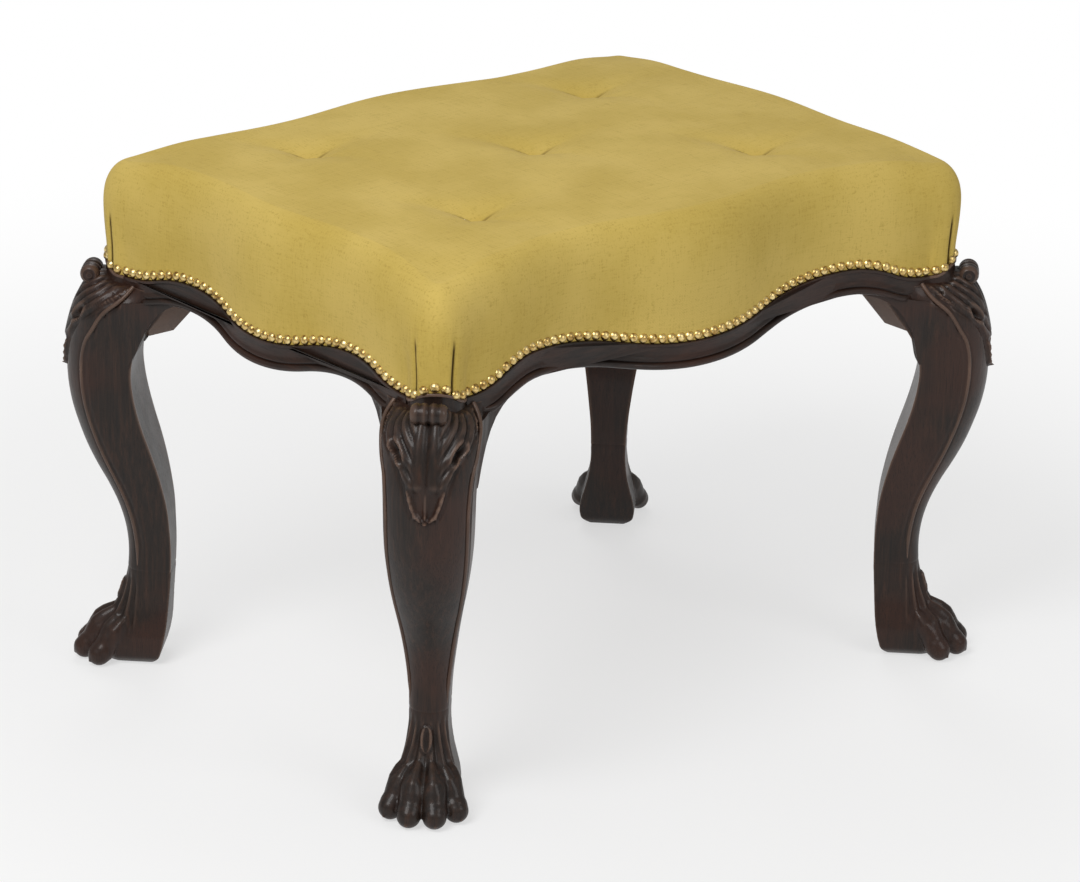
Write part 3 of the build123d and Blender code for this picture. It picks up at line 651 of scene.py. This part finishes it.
heel_stations = np.array([
    (0.0, 38.0, -4.0, 16.0), (5.0, 43.0, -9.0, 22.5), (14.0, 45.0, -12.5, 25.5), (24.0, 44.0, -14.8, 25.0),
    (36.0, 39.0, -16.6, 22.0), (48.0, 31.0, -17.6, 19.0), (62.0, 24.0, -18.6, 16.8), (74.0, 20.8, -19.4, 16.1),
    (84.0, 19.3, -19.8, 16.1), (92.0, 16.8, -17.8, 14.2),
])
levels = np.arange(0.0, 90.1, 2.0)
rows = []
for height, station in zip(levels, smooth_through(heel_stations, levels)):
    rows.append(at_level(leg_ring(*station, 40, 10, 8)[0], height))
paw_parts = [sheet_of_points("paw", np.array(rows), around=True, ends=True)]
toe_line = [  # reach, height and radius of a toe at its knots
    (10.0, 50.0, 4.6), (20.0, 44.5, 6.6), (29.0, 39.0, 8.4), (36.5, 33.5, 10.2), (42.5, 28.0, 11.2),
    (47.0, 22.5, 10.6), (50.5, 17.0, 10.0), (54.0, 12.4, 10.8), (57.0, 10.0, 10.0),
]
for angle, setback in ((-33, 8.0), (-10.5, 0.0), (10.5, 0.0), (33, 8.0)):
    heading = Vector((cos(radians(angle)), sin(radians(angle)), 0))
    path = [heading * (reach - setback) + Vector((0, 0, height)) for reach, height, _ in toe_line]
    paw_parts.append(ring_tube("toe", path, [radius for _, _, radius in toe_line]))
    bpy.ops.mesh.primitive_uv_sphere_add(segments=24, ring_count=16, radius=10.0 * mm, location=path[-1] * mm)
    paw_parts.append(bpy.context.object)
    claw = [
        heading * (toe_line[-1][0] - setback + ahead) + Vector((0, 0, height))
        for ahead, height in ((3.5, 13.0), (7.5, 9.0), (9.0, 4.0))
    ]
    paw_parts.append(ring_tube("claw", claw, [3.6, 2.8, 1.2], sides=10))
paw = joined(*paw_parts)
bpy.ops.object.transform_apply(location=True, rotation=True, scale=True)
modify(paw, "REMESH", mode="VOXEL", voxel_size=1.1 * mm)
modify(paw, "SMOOTH", factor=0.5, iterations=3)


def spots_of(piece):
    """Places of a piece's vertices in millimetres, and their normals."""
    vertices = piece.data.vertices
    return np.array([vertex.co for vertex in vertices]) / mm, np.array([vertex.normal for vertex in vertices])


spots, normals = spots_of(paw)
fan = np.degrees(np.arctan2(spots[:, 1], np.maximum(spots[:, 0] - 4, 1)))
crest = soft_step(spots[:, 2], 26, 40) * (1 - soft_step(spots[:, 2], 66, 84)) * soft_step(spots[:, 0], 6, 14)
ridge = 1.2 * np.cos(2 * pi * fan / 21.0 + pi) * crest
tip = 5.4 * np.sqrt(np.clip(1 - ((spots[:, 2] - 63) / 11.5) ** 2, 0, 1))
bud = soft_step(tip - np.abs(spots[:, 1]), 0.0, 2.2) * (spots[:, 0] > 8) * (2.4 - 0.6 * bell(spots[:, 1], 0.9))
spots += normals * (ridge + bud)[:, None]
spots[:, 2] = np.maximum(spots[:, 2], 0)
paw.data.vertices.foreach_set("co", (spots * mm).ravel())

scroll_half = [  # distance from the scroll's middle and radius, from its end to beside the middle
    (14.6, 0.8), (15.0, 2.2), (14.4, 3.2), (14.0, 4.4), (14.4, 5.6), (13.4, 7.0), (11.6, 8.1), (9.4, 8.6),
    (7.2, 8.0), (5.2, 8.7), (3.2, 8.9), (1.4, 8.3),
]
scroll_profile = [(-across, radius) for across, radius in scroll_half] + [(0.0, 7.3)] + scroll_half[::-1]
scroll_reach, scroll_height = 48.6, 350.0
scroll_rows = [
    [(scroll_reach + radius * cos(turn), across, scroll_height + radius * sin(turn))
     for turn in np.linspace(0, 2 * pi, 37)]
    for across, radius in scroll_profile
]
scroll = sheet_of_points("scroll", np.array(scroll_rows), around=True, ends=True)

path = corner_path(0, 60)
outward = np.gradient(path[:, :2], axis=0)
outward = np.stack((outward[:, 1], -outward[:, 0]), 1)
outward /= np.linalg.norm(outward, axis=1)[:, None]
path_edge = np.array([edge_at("corner", along) for along in path[:, 2]])
collar_rows = [
    at_level(path[:, :2] + outward * out, path_edge - show_wood * down)
    for down, out in (
        (0.0, -9.0), (0.0, -1.0), (0.0, 0.5), (0.02, 0.9), (0.11, 0.9), (0.13, 0.2), (0.24, -0.1), (0.40, 0.2),
        (0.55, 1.0), (0.68, 2.2), (0.80, 4.0), (0.92, 6.4), (0.92, -9.0),
    )
]
collar = sheet_of_points("collar", np.array([*collar_rows, collar_rows[0]]))

path = corner_path(3.4, 24)[:, :2]
plan = np.vstack((path, across_leg(236, 214), across_leg(236, 160), across_leg(288, 160), path[:1]))
post_rows = [
    at_level(plan * share, height)
    for height, share in ((300.0, 0.5), (325.0, 1.0), (397.5, 1.0), (399.3, 0.985), (400.0, 0.96))
]
post = sheet_of_points("post", np.array(post_rows), around=True, ends=True)

bead_sunk, bead_radius = 0.8, 1.8
bead_path = [(8.5, 31.0, 347.0), (9.6, 34.6, 343.6), (12.2, 37.6, 340.0), (16.0, 39.4, 336.6), (21.0, 40.2, 333.6)]
for height in np.concatenate((np.arange(331.0, 300.0, -1.8), np.arange(300.0, 86.0, -4.0))):
    outer, inner, half = leg_at(height)
    reach = bead_reach(height)
    shoulder, radius = front_arc(outer, inner, half)
    across = half if reach < shoulder else sqrt(max(radius**2 - (reach - outer + radius) ** 2, 0))
    bead_path.append((reach, across - bead_sunk, height))
bead_line = np.array(bead_path)
for _ in range(10):
    bead_line[1:-1] = bead_line[1:-1] * 0.5 + (bead_line[2:] + bead_line[:-2]) * 0.25
bead_sizes = [bead_radius * min(1, 0.35 + (height - 88) / 30) for height in bead_line[:, 2]]
beads = [ring_tube("bead", bead_line * (1, sign, 1), bead_sizes, sides=10) for sign in (1, -1)]
leg = joined(leg, paw, scroll, collar, post, *beads)
carved_wood = mahogany("mahogany_carved", "z", wear_and_highlight=0.7)
leg.data.transform(Matrix.Translation((ankle[0] * mm, ankle[1] * mm, 0)) @ Matrix.Rotation(pi / 4, 4, "Z"))
for corner, (sign_x, sign_y) in corners.items():
    copy = leg.copy()
    copy.data = leg.data.copy()
    bpy.context.collection.objects.link(copy)
    copy.name = f"carved_leg_{corner}"
    copy.data.name = copy.name
    copy.data.transform(Matrix.Diagonal((sign_x, sign_y, 1, 1)))
    if sign_x * sign_y < 0:
        copy.data.flip_normals()
    finish_piece(copy, carved_wood, "mahogany", f"leg_{corner}", smooth=50)
bpy.data.objects.remove(leg)


# The knee brackets: small blocks glued between a leg and a rail. Their faces are carved to run
# on from the side of the leg into the rail, and their lower edges carry the arch down to the leg.
arch_line = np.array([  # distance across the leg's diagonal, and height of the arch
    (36.5, 276), (37.6, 285), (39.2, 296), (41.6, 309), (44.4, 319.5), (48.0, 328.5), (52.6, 335.5), (58.6, 341.5),
    (65.5, 346), (73.0, 349), (90.0, 352),
])


def bracket_block(kind):
    """Block at the positive corner under one of its rails, from the top of the arch to the leg."""
    near, far = (ankle[1], ankle[0]) if kind == "long" else (ankle[0], ankle[1])
    first, last = (184.0, 249.0) if kind == "long" else (116.0, 174.0)
    end = side_end[kind]
    line = side_line(kind, end, side_reach[kind])

    def face(along, height):
        """The block's face: the rail's plane run softly into the leg's side."""
        rail = wave_at(line, min(along, end)) - 1.2
        leg_side = near + along - far + float(leg_at(min(height, shaft_high))[2]) * sqrt(2) - 0.4
        sink = 2.2 * soft_step(along, end - 18, end - 6)
        return (rail + leg_side + sqrt((rail - leg_side) ** 2 + 11.0**2)) / 2 - 0.6 - sink

    rings = []
    for along in np.linspace(first, last, 46):
        top = edge_at(kind, min(along, end)) - show_wood + 2.4
        foot = top - 4
        for _ in range(8):
            across = (face(along, foot) - near - (along - far)) / sqrt(2)
            foot = min(float(np.interp(across, arch_line[:, 0], arch_line[:, 1])), top - 2.6)
        depth = float(np.interp(along, (last - 34, last - 6), (14.0, 5.0)))
        ring = [(along, face(along, height), height) for height in np.linspace(top, foot + 1.2, 18)]
        low = face(along, foot)
        for share in (0.02, 0.1, 0.35, 0.7, 0.93, 1.0):
            rise = min(1.1 * depth * share, top - foot - 1.0)
            ring.append((along, low - depth * share, foot + rise))
        ring.append((along, low - depth, top))
        rings.append([in_plan(kind, *point) for point in (*ring, ring[0])])
    return np.array(rings)


upright_wood = mahogany("mahogany_upright", "z")
for corner, (sign_x, sign_y) in corners.items():
    for kind in ("long", "short"):
        rings = bracket_block(kind) * np.array((sign_x, sign_y, 1))
        block = sheet_of_points(f"carved_bracket_{corner}_{kind}", rings, around=True, ends=True)
        finish_piece(block, upright_wood, "mahogany", f"knee_bracket_{corner}_{kind}", smooth=50)


# The cover: one piece of plain-woven mustard cloth, drawn down over the stuffing, pulled in at
# five blind tufts, pleated twice at each corner and nailed along the edge of the wood.
cover_stations = [  # height, inset from the show wood's face
    (376.0, 0.5), (386.0, -0.6), (398.0, -1.6), (408.0, -2.1), (418.0, -2.2), (428.0, -1.3), (436.0, 0.3),
    (443.0, 2.8), (448.0, 5.6), (451.6, 8.6), (454.2, 12.0), (455.8, 15.6),
]
tufts = [(0.0, 0.0)] + [(x, y) for x in (-155.0, 155.0) for y in (-108.0, 108.0)]
shoulder_height = cover_stations[-1][0]
fine_steps, coarse_steps = (11, 92, 68), (6, 40, 30)
tip_place, tip_reach, tip_fall = (281.0, 212.0), 44.0, 8.0


def crown_over(x, y):
    """Height of the seat's top over the plan, drawn down over the corners, before the tufts pull it in."""
    tips = tip_fall * np.exp(-(((abs(x) - tip_place[0]) ** 2 + (abs(y) - tip_place[1]) ** 2) / tip_reach**2))
    swell_x, swell_y = np.clip(1 - (x / 285) ** 2, 0, 1), np.clip(1 - (y / 210) ** 2, 0, 1)
    return shoulder_height + 3.4 * swell_x + 2.8 * swell_y - tips


def seat_rows(depth, base=None):
    """Rings of the seat from the nailed edge, or from a level, to the shoulder, at a depth under the cloth's face."""
    corner_steps, long_steps, short_steps = fine_steps
    stations, rings = cover_stations, []
    if base is None:
        first = seat_ring(0.5 + depth, *fine_steps)
        rings.append(at_level(first, first[:, 2] + 0.4))
        rings.append(at_level(first, first[:, 2] * 0.5 + stations[0][0] * 0.5))
    else:
        known = np.array(cover_stations)
        stations = [(base, float(np.interp(base, known[:, 0], known[:, 1])))]
        stations += [station for station in cover_stations if station[0] > base + 1]
    half_round = 4 * corner_steps + long_steps + short_steps
    tips = [0, 2 * corner_steps + long_steps, half_round, half_round + 2 * corner_steps + long_steps]
    for height, inset in stations:
        ring = seat_ring(inset + depth, *fine_steps)
        plan = ring[:, :2].copy()
        for _ in range(int(np.interp(height, (382, 400, 420, 440, 456), (0, 8, 26, 48, 60)))):
            plan = plan * 0.5 + (np.roll(plan, 1, 0) + np.roll(plan, -1, 0)) * 0.25
        for tip in tips:
            lost = ring[tip, :2] - plan[tip]
            away = np.linalg.norm(ring[:, :2] - ring[tip, :2], axis=1)
            plan += lost * bell(away, 30)[:, None]
        lift = (crown_over(plan[:, 0], plan[:, 1]) - shoulder_height) * soft_step(height, 405.0, shoulder_height)
        fall = depth * float(soft_step(height, 425.0, shoulder_height))
        rings.append(at_level(plan, height + lift - fall))
    return rings


def plan_fill(ring, steps, height_at):
    """Rows of points that fill a ring round the seat, at heights given over the plan."""
    corner_steps, long_steps, short_steps = steps
    long_count = 2 * corner_steps + long_steps
    short_count = 2 * corner_steps + short_steps
    plan = ring[:, :2]
    far = plan[: long_count + 1]
    left = plan[long_count : long_count + short_count + 1]
    near = plan[long_count + short_count : 2 * long_count + short_count + 1][::-1]
    right = np.vstack((plan[2 * long_count + short_count :], plan[:1]))[::-1]
    s = np.linspace(0, 1, long_count + 1)[:, None]
    rows = []
    for index in range(short_count + 1):
        t = index / short_count
        blend = (1 - t) * far + t * near + (1 - s) * right[index] + s * left[index]
        blend -= (1 - t) * ((1 - s) * far[0] + s * far[-1]) + t * ((1 - s) * near[0] + s * near[-1])
        rows.append(at_level(blend, height_at(blend[:, 0], blend[:, 1])))
    return np.array(rows)


def form_of_rings(name, rings, steps, top_at, base_at=None):
    """Rings joined to a filled top, and to a filled base where the form is closed."""
    sides = sheet_of_points(name, np.array([np.vstack((ring, ring[:1])) for ring in rings]), around=True)
    fills = [sheet_of_points(name + "_top", plan_fill(rings[-1], steps, top_at))]
    if base_at is not None:
        fills.append(sheet_of_points(name + "_base", plan_fill(rings[0], steps, base_at)))
    joined(sides, *fills)
    bpy.ops.object.mode_set(mode="EDIT")
    bpy.ops.mesh.select_all(action="SELECT")
    bpy.ops.mesh.remove_doubles(threshold=0.02 * mm)
    bpy.ops.mesh.normals_make_consistent(inside=False)
    bpy.ops.object.mode_set(mode="OBJECT")
    return sides


fold_ways = [(-0.50, 0.87, 1.0), (0.99, 0.10, 1.0)]


def pull_in(spots):
    """How far the tufts draw the top down: a pit at each, short folds from it, and a slack swell between."""
    x, y = spots[:, 0], spots[:, 1]
    fall = np.zeros(len(spots))
    for tuft_x, tuft_y in tufts:
        away_x, away_y = x - tuft_x, y - tuft_y
        away = np.hypot(away_x, away_y)
        folds = np.zeros(len(spots))
        for ahead_x, ahead_y, force in (*fold_ways, (0.30, -0.95, 0.45), (-0.95, -0.30, 0.45)):
            ahead = away_x * ahead_x + away_y * ahead_y
            aside = -away_x * ahead_y + away_y * ahead_x
            crease = bell(np.maximum(ahead, 0), 27) * np.exp(-np.abs(aside) / 3.0)
            swag = bell(np.maximum(ahead, 0), 60) * bell(aside, 14)
            folds = np.maximum(folds, force * 3.4 * (crease + swag) * (ahead > -3))
        fall += 5.6 * np.exp(-away / 6.5) + 4.0 * bell(away, 28) + folds
    return fall


pleat_half, pleat_depth, pleat_top = 1.7, 2.6, 414.0
pleats = []
for off_middle, lap in ((13.0, 1), (-17.0, -1)):
    bulge = sqrt(corner_radius**2 - off_middle**2) - corner_radius + corner_rise
    spot = chord_middle + corner_along * off_middle + corner_out * bulge
    out = (spot - corner_centre).normalized()
    pleats.append((spot.x, spot.y, -out.y * lap, out.x * lap))


def draw_down(piece, depth):
    """Pulls the tufts in and lays the pleats at each corner, on a skin at a depth under the cloth's face."""
    spots, normals = spots_of(piece)
    spots[:, 2] -= pull_in(spots) * soft_step(normals[:, 2], 0.55, 0.95)
    for sign_x, sign_y in corners.values():
        for end_x, end_y, across_x, across_y in pleats:
            away_x, away_y = spots[:, 0] * sign_x - end_x, spots[:, 1] * sign_y - end_y
            aside = away_x * across_x + away_y * across_y
            fade = (1 - soft_step(spots[:, 2], pleat_top - 26, pleat_top + 6)) * (np.hypot(away_x, away_y) < 16)
            slit, fold = bell(aside, pleat_half), bell(aside + 3.4, 2.4)
            spots += normals * (fade * (0.9 * fold * (depth == 0) - pleat_depth * slit))[:, None]
    piece.data.vertices.foreach_set("co", (spots * mm).ravel())


def give_wall(piece, thickness, offset=-1):
    """Thickens a skin into cloth: inwards, or to both sides with an offset of 0."""
    modify(piece, "SOLIDIFY", thickness=thickness * mm, offset=offset)


cover = form_of_rings("seat_cover", seat_rows(0.0), fine_steps, crown_over)
modify(cover, "SUBSURF", levels=1, render_levels=1)
draw_down(cover, 0)
give_wall(cover, 1.3)


def woven(name, light, mid, shade, threads_per_metre, slub=0.5, depth=0.00025, painted_fold_shade=False):
    """Plain weave on the piece's own place, on the top and on both pairs of sides; with the fold flag set, painted
    shade also goes down each corner pleat and into the tufts' creases and pits.
    """
    cloth = Finish(name)
    x, y, z = cloth.parts_of(cloth.place)
    _, facing_y, facing_z = cloth.parts_of(cloth.node("ShaderNodeNewGeometry", out="Normal"))
    on_top = abs(facing_z).clear_step(0.55, 0.75)
    on_long = abs(facing_y).clear_step(0.6, 0.8) * (1 - on_top)
    on_short = (1 - on_top) * (1 - on_long)
    warp = x * (on_top + on_long) + y * on_short
    weft = y * on_top + z * (1 - on_top)
    wander = cloth.noise(cloth.place, 60, 2) * 0.0012
    turn = threads_per_metre * 2 * pi
    over = ((warp + wander) * turn).wave()
    under = ((weft + wander) * turn).wave()
    knit = over * under * 0.5 + 0.5
    slubs = [
        cloth.noise(cloth.stretched(*scales), detail=3) for scales in ((700, 700, 50), (50, 700, 700), (700, 50, 700))
    ]
    slubs = (slubs[0] + slubs[1] + slubs[2]) / 3
    patch = cloth.noise(cloth.place, 11, 4)
    colour = cloth.mix(patch.clear_step(0.32, 0.68), mid, light)
    colour = cloth.mix(slubs.clear_step(0.50, 0.66) * slub, colour, shade)
    colour = cloth.mix((1 - slubs.clear_step(0.36, 0.48)) * slub * 0.6, colour, light)
    colour = cloth.mix(knit * 0.12, colour, shade)
    if painted_fold_shade:
        # Painted shade: a dark line down each corner pleat, where the fold lies in shade.
        for end_x, end_y, across_x, across_y in pleats:
            away_x, away_y = abs(x) - end_x * mm, abs(y) - end_y * mm
            aside = abs(away_x * across_x + away_y * across_y)
            at_pleat = 1 - (away_x**2 + away_y**2).clear_step(0.00008, 0.00012)
            beside = (1 - aside.clear_step(0.0006, 0.0016)) * at_pleat
            colour = cloth.mix(beside * (1 - z.clear_step(0.396, 0.408)) * 0.92, colour, tone(58, 42, 14))
        # Painted shade at the tufts: dark lines along their creases and dark spots in their pits.
        crease_shade, pit_shade = 0.0, 0.0
        for tuft_x, tuft_y in tufts:
            away_x, away_y = x - tuft_x * mm, y - tuft_y * mm
            pit_shade = pit_shade + (1 - (away_x * away_x + away_y * away_y).clear_step(0.000001, 0.000012))
            for ahead_x, ahead_y, _ in fold_ways:
                ahead = away_x * ahead_x + away_y * ahead_y
                aside = abs(away_y * ahead_x - away_x * ahead_y)
                line = (1 - ahead.clear_step(0.006, 0.030)) * ahead.clear_step(-0.002, 0.001)
                crease_shade = crease_shade + line * (1 - aside.clear_step(0.0002, 0.0024))
        top_only = z.clear_step(0.43, 0.44)
        colour = cloth.mix(crease_shade.maths("MINIMUM", crease_shade, 1.0) * top_only * 0.6, colour, tone(100, 78, 28))
        colour = cloth.mix(pit_shade * top_only * 0.6, colour, tone(80, 62, 22))
    normal = cloth.bump(knit * 0.7 + slubs, depth)
    return cloth.set(
        Base_Color=colour, Roughness=0.80 + slubs * 0.2, Normal=normal, Sheen_Weight=0.05, Sheen_Roughness=0.5,
        Specular_IOR_Level=0.12,
    )


cover_cloth = woven("mustard_cloth", tone(205, 179, 98), tone(192, 166, 83), tone(164, 138, 62), 800, slub=0.55,
                    painted_fold_shade=True)
finish_piece(cover, cover_cloth, "cover_cloth", "top_cover")


# The muslin and the two stuffings under the cover. The muslin is a thin cotton skin nailed with
# it. The second stuffing is curled hair over a firm first stuffing of fibre with a stitched edge.
def matted(name, light, dark, strand):
    """Curled fibre, felted together: thin strands that cross at all angles."""
    felt = Finish(name)
    curl = felt.noise(felt.place, 90, 3)
    bent = felt.node("ShaderNodeVectorMath", {"operation": "MULTIPLY_ADD"}, felt.place, (1, 1, 1))
    felt.links.new(curl.socket.node.outputs["Color"], bent.socket.node.inputs[2])
    strands = felt.node("ShaderNodeTexWave", {"wave_type": "RINGS"}, bent, strand, 9.0, 3.0)
    clumps = felt.noise(felt.place, 55, 4)
    colour = felt.mix(strands.clear_step(0.25, 0.8), dark, light)
    colour = felt.mix((1 - clumps.clear_step(0.35, 0.6)) * 0.6, colour, dark)
    normal = felt.bump(strands, 0.0008, felt.bump(clumps, 0.002))
    return felt.set(Base_Color=colour, Roughness=0.85 + clumps * 0.1, Normal=normal, Specular_IOR_Level=0.2)


muslin_depth, hair_depth = 1.65, 2.6
muslin = form_of_rings("muslin_skin", seat_rows(muslin_depth), fine_steps,
                       lambda x, y: crown_over(x, y) - muslin_depth)
draw_down(muslin, muslin_depth)
give_wall(muslin, 0.5)
muslin_cloth = woven("unbleached_muslin", tone(236, 230, 212), tone(228, 220, 199), tone(204, 194, 170), 1300,
                     slub=0.3, depth=0.0001)
finish_piece(muslin, muslin_cloth, "muslin", "muslin_undercover")


def pad_rings(stations, steps):
    """Rings round a pad, at heights and insets."""
    return [at_level(seat_ring(inset, *steps), height) for height, inset in stations]


over_first = [(431.6, 13.6), (431.1, 10.8), (428.8, 8.9), (424.0, 8.4), (414.0, 8.4), (405.4, 8.4)]
hair_rings = pad_rings(over_first, fine_steps) + seat_rows(hair_depth, base=over_first[-1][0])
hair_pad = form_of_rings("hair_pad", hair_rings, fine_steps, lambda x, y: crown_over(x, y) - hair_depth,
                         lambda x, y: over_first[0][0])
draw_down(hair_pad, hair_depth)
curled = matted("curled_hair", tone(92, 76, 62), tone(34, 27, 23), 520)
finish_piece(hair_pad, curled, "curled_hair", "second_stuffing")

stitched_edge = [  # height and inset: two rows of stitches draw the edge of the pad in
    (405.6, 12.8), (406.8, 10.3), (409.5, 9.3), (412.5, 10.3), (415.5, 9.3), (419.0, 9.2), (422.2, 10.1),
    (425.2, 9.2), (428.4, 9.8), (430.2, 11.8), (430.9, 14.8),
]
fibre_pad = form_of_rings("fibre_pad", pad_rings(stitched_edge, coarse_steps), coarse_steps,
                          lambda x, y: stitched_edge[-1][0], lambda x, y: stitched_edge[0][0])
fibre = matted("grass_fibre", tone(170, 150, 96), tone(92, 76, 44), 430)
finish_piece(fibre_pad, fibre, "grass_pad", "first_stuffing")


# The seat's foundation: jute webbing interlaced across the frame, folded double and tacked at
# its ends, and a coarse hessian over it that carries the stuffings.
hessian_ring = seat_ring(9.3, *coarse_steps)
hessian = sheet_of_points("hessian_base", plan_fill(hessian_ring, coarse_steps, lambda x, y: 404.85))
give_wall(hessian, 0.7)
hessian_cloth = woven("coarse_hessian", tone(182, 152, 104), tone(166, 136, 90), tone(104, 80, 48), 520, slub=0.8,
                      depth=0.0004)
finish_piece(hessian, hessian_cloth, "hessian", "base_hessian")

jute = Finish("webbing_twill")
strip, across, _ = jute.parts_of(jute.own)
twill = ((strip * 620 + across * 60) * (2 * pi)).wave() * 0.5 + 0.5
stripe = 1 - abs(abs(across - 0.5) - 0.34).clear_step(0.03, 0.05)
fibres = jute.noise(jute.place, 700, 3)
jute_colour = jute.mix(fibres.clear_step(0.3, 0.7), tone(146, 120, 80), tone(190, 164, 118))
jute_colour = jute.mix(stripe * 0.8, jute_colour, tone(96, 62, 44))
jute_cloth = jute.set(Base_Color=jute_colour, Roughness=0.86 + fibres * 0.1,
                      Normal=jute.bump(twill + fibres, 0.0003), Specular_IOR_Level=0.15)
low_level, high_level, strap_width, strap_wall, fold_length = 401.0, 403.0, 50.0, 1.5, 18.0
cross_places = [-156.0, -78.0, 0.0, 78.0, 156.0]
length_places = [-100.0, 0.0, 100.0]


def strap(name, kind, centre, lie, fold, crossings):
    """One webbing strip between the two rails of a kind: doubled at its ends, where it stops short of the nearest
    part of the rail's wavy face, and over or under each strip that it crosses."""
    line = side_line(kind, side_end[kind], side_reach[kind])
    reach = min(wave_at(line, abs(abs(centre) + aside)) for aside in (-25.0, 0.0, 25.0)) - 6.2
    end, rise = reach - 0.9, lie - fold
    knots = [(-end + 1, lie)]
    for place, level in crossings:
        knots += [(place - 27, level), (place + 27, level)]
    knots.append((end - 1, lie))
    doubled = [(reach - fold_length, fold), (end - 1.4, fold), (end - 0.4, fold + rise * 0.2),
               (end, (lie + fold) / 2), (end - 0.4, lie - rise * 0.2)]
    path = [(-along, level) for along, level in doubled]
    for (start, level), (stop, other) in zip(knots, knots[1:]):
        for share in np.arange(0, 1, 0.125):
            path.append((start + (stop - start) * share, level + (other - level) * float(soft_step(share, 0.0, 1.0))))
    path += [knots[-1], *doubled[::-1]]
    rows = [
        [in_plan(kind, centre + aside, along, level) for along, level in path]
        for aside in np.linspace(-strap_width / 2, strap_width / 2, 5)
    ]
    piece = sheet_of_points(name, np.array(rows))
    give_wall(piece, strap_wall, offset=0)
    node = "webbing_crosswise" if kind == "long" else "webbing_lengthwise"
    finish_piece(piece, jute_cloth, "webbing_jute", node, smooth=50)
    length = sum(hypot(b[0] - a[0], b[1] - a[1]) for a, b in zip(path, path[1:]))
    return piece


for kind, name, places, others, lie, fold in (
    ("long", "web_across", cross_places, length_places, high_level, low_level),
    ("short", "web_along", length_places, cross_places, low_level, high_level),
):
    for index, place in enumerate(places):
        crossings = [(other, (lie, fold)[(index + order) % 2]) for order, other in enumerate(others)]
        strap(f"{name}_{index + 1}", kind, place, lie, fold, crossings)


# The tufting twines: five waxed linen cords from small leather tabs under the webbing, drawn up
# through the stuffings and looped through the cloth at each tuft.
twine = Finish("waxed_twine")
def flecked(name, scales, detail, dark, light, rough, rough_more, depth, **settings):
    """A plain material with one fine pattern of marks in its colour, its gloss and its surface."""
    plain = Finish(name)
    marks = plain.noise(plain.stretched(*scales), detail=detail)
    return plain.set(Base_Color=plain.mix(marks, tone(*dark), tone(*light)), Roughness=rough + marks * rough_more,
                     Normal=plain.bump(marks, depth), **settings)


twine_cord = flecked("waxed_twine", (900, 900, 240), 2, (150, 132, 92), (222, 208, 168), 0.5, 0.2, 0.0002)
cords = []
twine_radius, twist_length, twine_low, under_cloth = 1.0, 9.0, 398.2, 5.0
for tuft_x, tuft_y in tufts:
    top = crown_over(tuft_x, tuft_y) - pull_in(np.array([(tuft_x, tuft_y)]))[0] - under_cloth
    rows = []
    for height in np.arange(twine_low, top, 1.5):
        turn = 2 * pi * height / twist_length
        row = []
        for angle in np.linspace(0, 2 * pi, 15):
            radius = twine_radius * (0.86 + 0.14 * abs(cos(angle - turn)))
            row.append((tuft_x + radius * cos(angle), tuft_y + radius * sin(angle), height))
        rows.append(row)
    cords.append(sheet_of_points("twine", np.array(rows), around=True, ends=True))
cord = joined(*cords)
cord.name = "tufting_twines"
finish_piece(cord, twine_cord, "twine", "tuft_twines")
repaint(flecked("tab_leather", (900, 900, 900), 4, (70, 44, 26), (122, 82, 50), 0.55, 0.2, 0.0003), "tuft_tabs")


# The hidden fixings: beech braces glued and screwed across the inner corners, beech pegs through
# the joints of the rails, steel wood screws, and blued iron tacks in the webbing.
def pale_wood(name, turn):
    """Plain beech with its grain across a corner, and its short dark flecks."""
    beech = Finish(name)
    level = beech.node("ShaderNodeVectorRotate", {"rotation_type": "Z_AXIS"}, Vector=beech.place, Angle=turn)
    long_grain = beech.node("ShaderNodeMapping", {}, Vector=level, Scale=(9, 240, 240))
    flecks = beech.node("ShaderNodeMapping", {}, Vector=level, Scale=(160, 1300, 1300))
    grain = beech.noise(long_grain, detail=4)
    fleck = beech.noise(flecks, detail=1)
    colour = beech.ramp(grain, (0.3, tone(170, 130, 88)), (0.55, tone(200, 162, 116)), (0.75, tone(216, 182, 138)))
    colour = beech.mix(fleck.clear_step(0.62, 0.7) * 0.6, colour, tone(138, 98, 62))
    return beech.set(Base_Color=colour, Roughness=0.55 + grain * 0.2, Normal=beech.bump(grain + fleck, 0.00012))


one_way, other_way = pale_wood("beech_one_way", pi / 4), pale_wood("beech_other_way", -pi / 4)
repaint(one_way, "corner_brace_front_left", "corner_brace_back_right")
repaint(other_way, "corner_brace_front_right", "corner_brace_back_left", "tenon_pegs")

screw_steel = flecked("screw_steel", (600, 600, 600), 4, (96, 92, 88), (168, 166, 162), 0.3, 0.25, 0.00006,
                      Metallic=1.0)
repaint(screw_steel, "brace_screws")
iron = Finish("tack_iron")
iron_marks = iron.noise(iron.place, 800, 4)
iron_metal = iron.set(Base_Color=iron.mix(iron_marks.clear_step(0.4, 0.7), tone(38, 40, 48), tone(84, 62, 50)),
                      Metallic=0.9, Roughness=0.42 + iron_marks * 0.3, Normal=iron.bump(iron_marks, 0.0001))
repaint(iron_metal, "webbing_tacks")


# The nails: close rows of small domed brass nails on all four sides, driven through the cloth
# into the rails and the legs. They are bright on the crown and dull where the domes meet.
brass = Finish("nail_brass")
tarnish = brass.noise(brass.place, 260, 3)
scratch = brass.noise(brass.stretched(900, 900, 3000), detail=2)
brass_colour = brass.ramp(tarnish, (0.32, tone(150, 116, 62)), (0.5, tone(214, 184, 118)), (0.68, tone(240, 219, 158)))
brass_material = brass.set(
    Base_Color=brass_colour, Metallic=1.0, Roughness=0.24 + tarnish * 0.16, Normal=brass.bump(scratch, 0.00005)
)
repaint(brass_material, "nails_front", "nails_back", "nails_left", "nails_right")
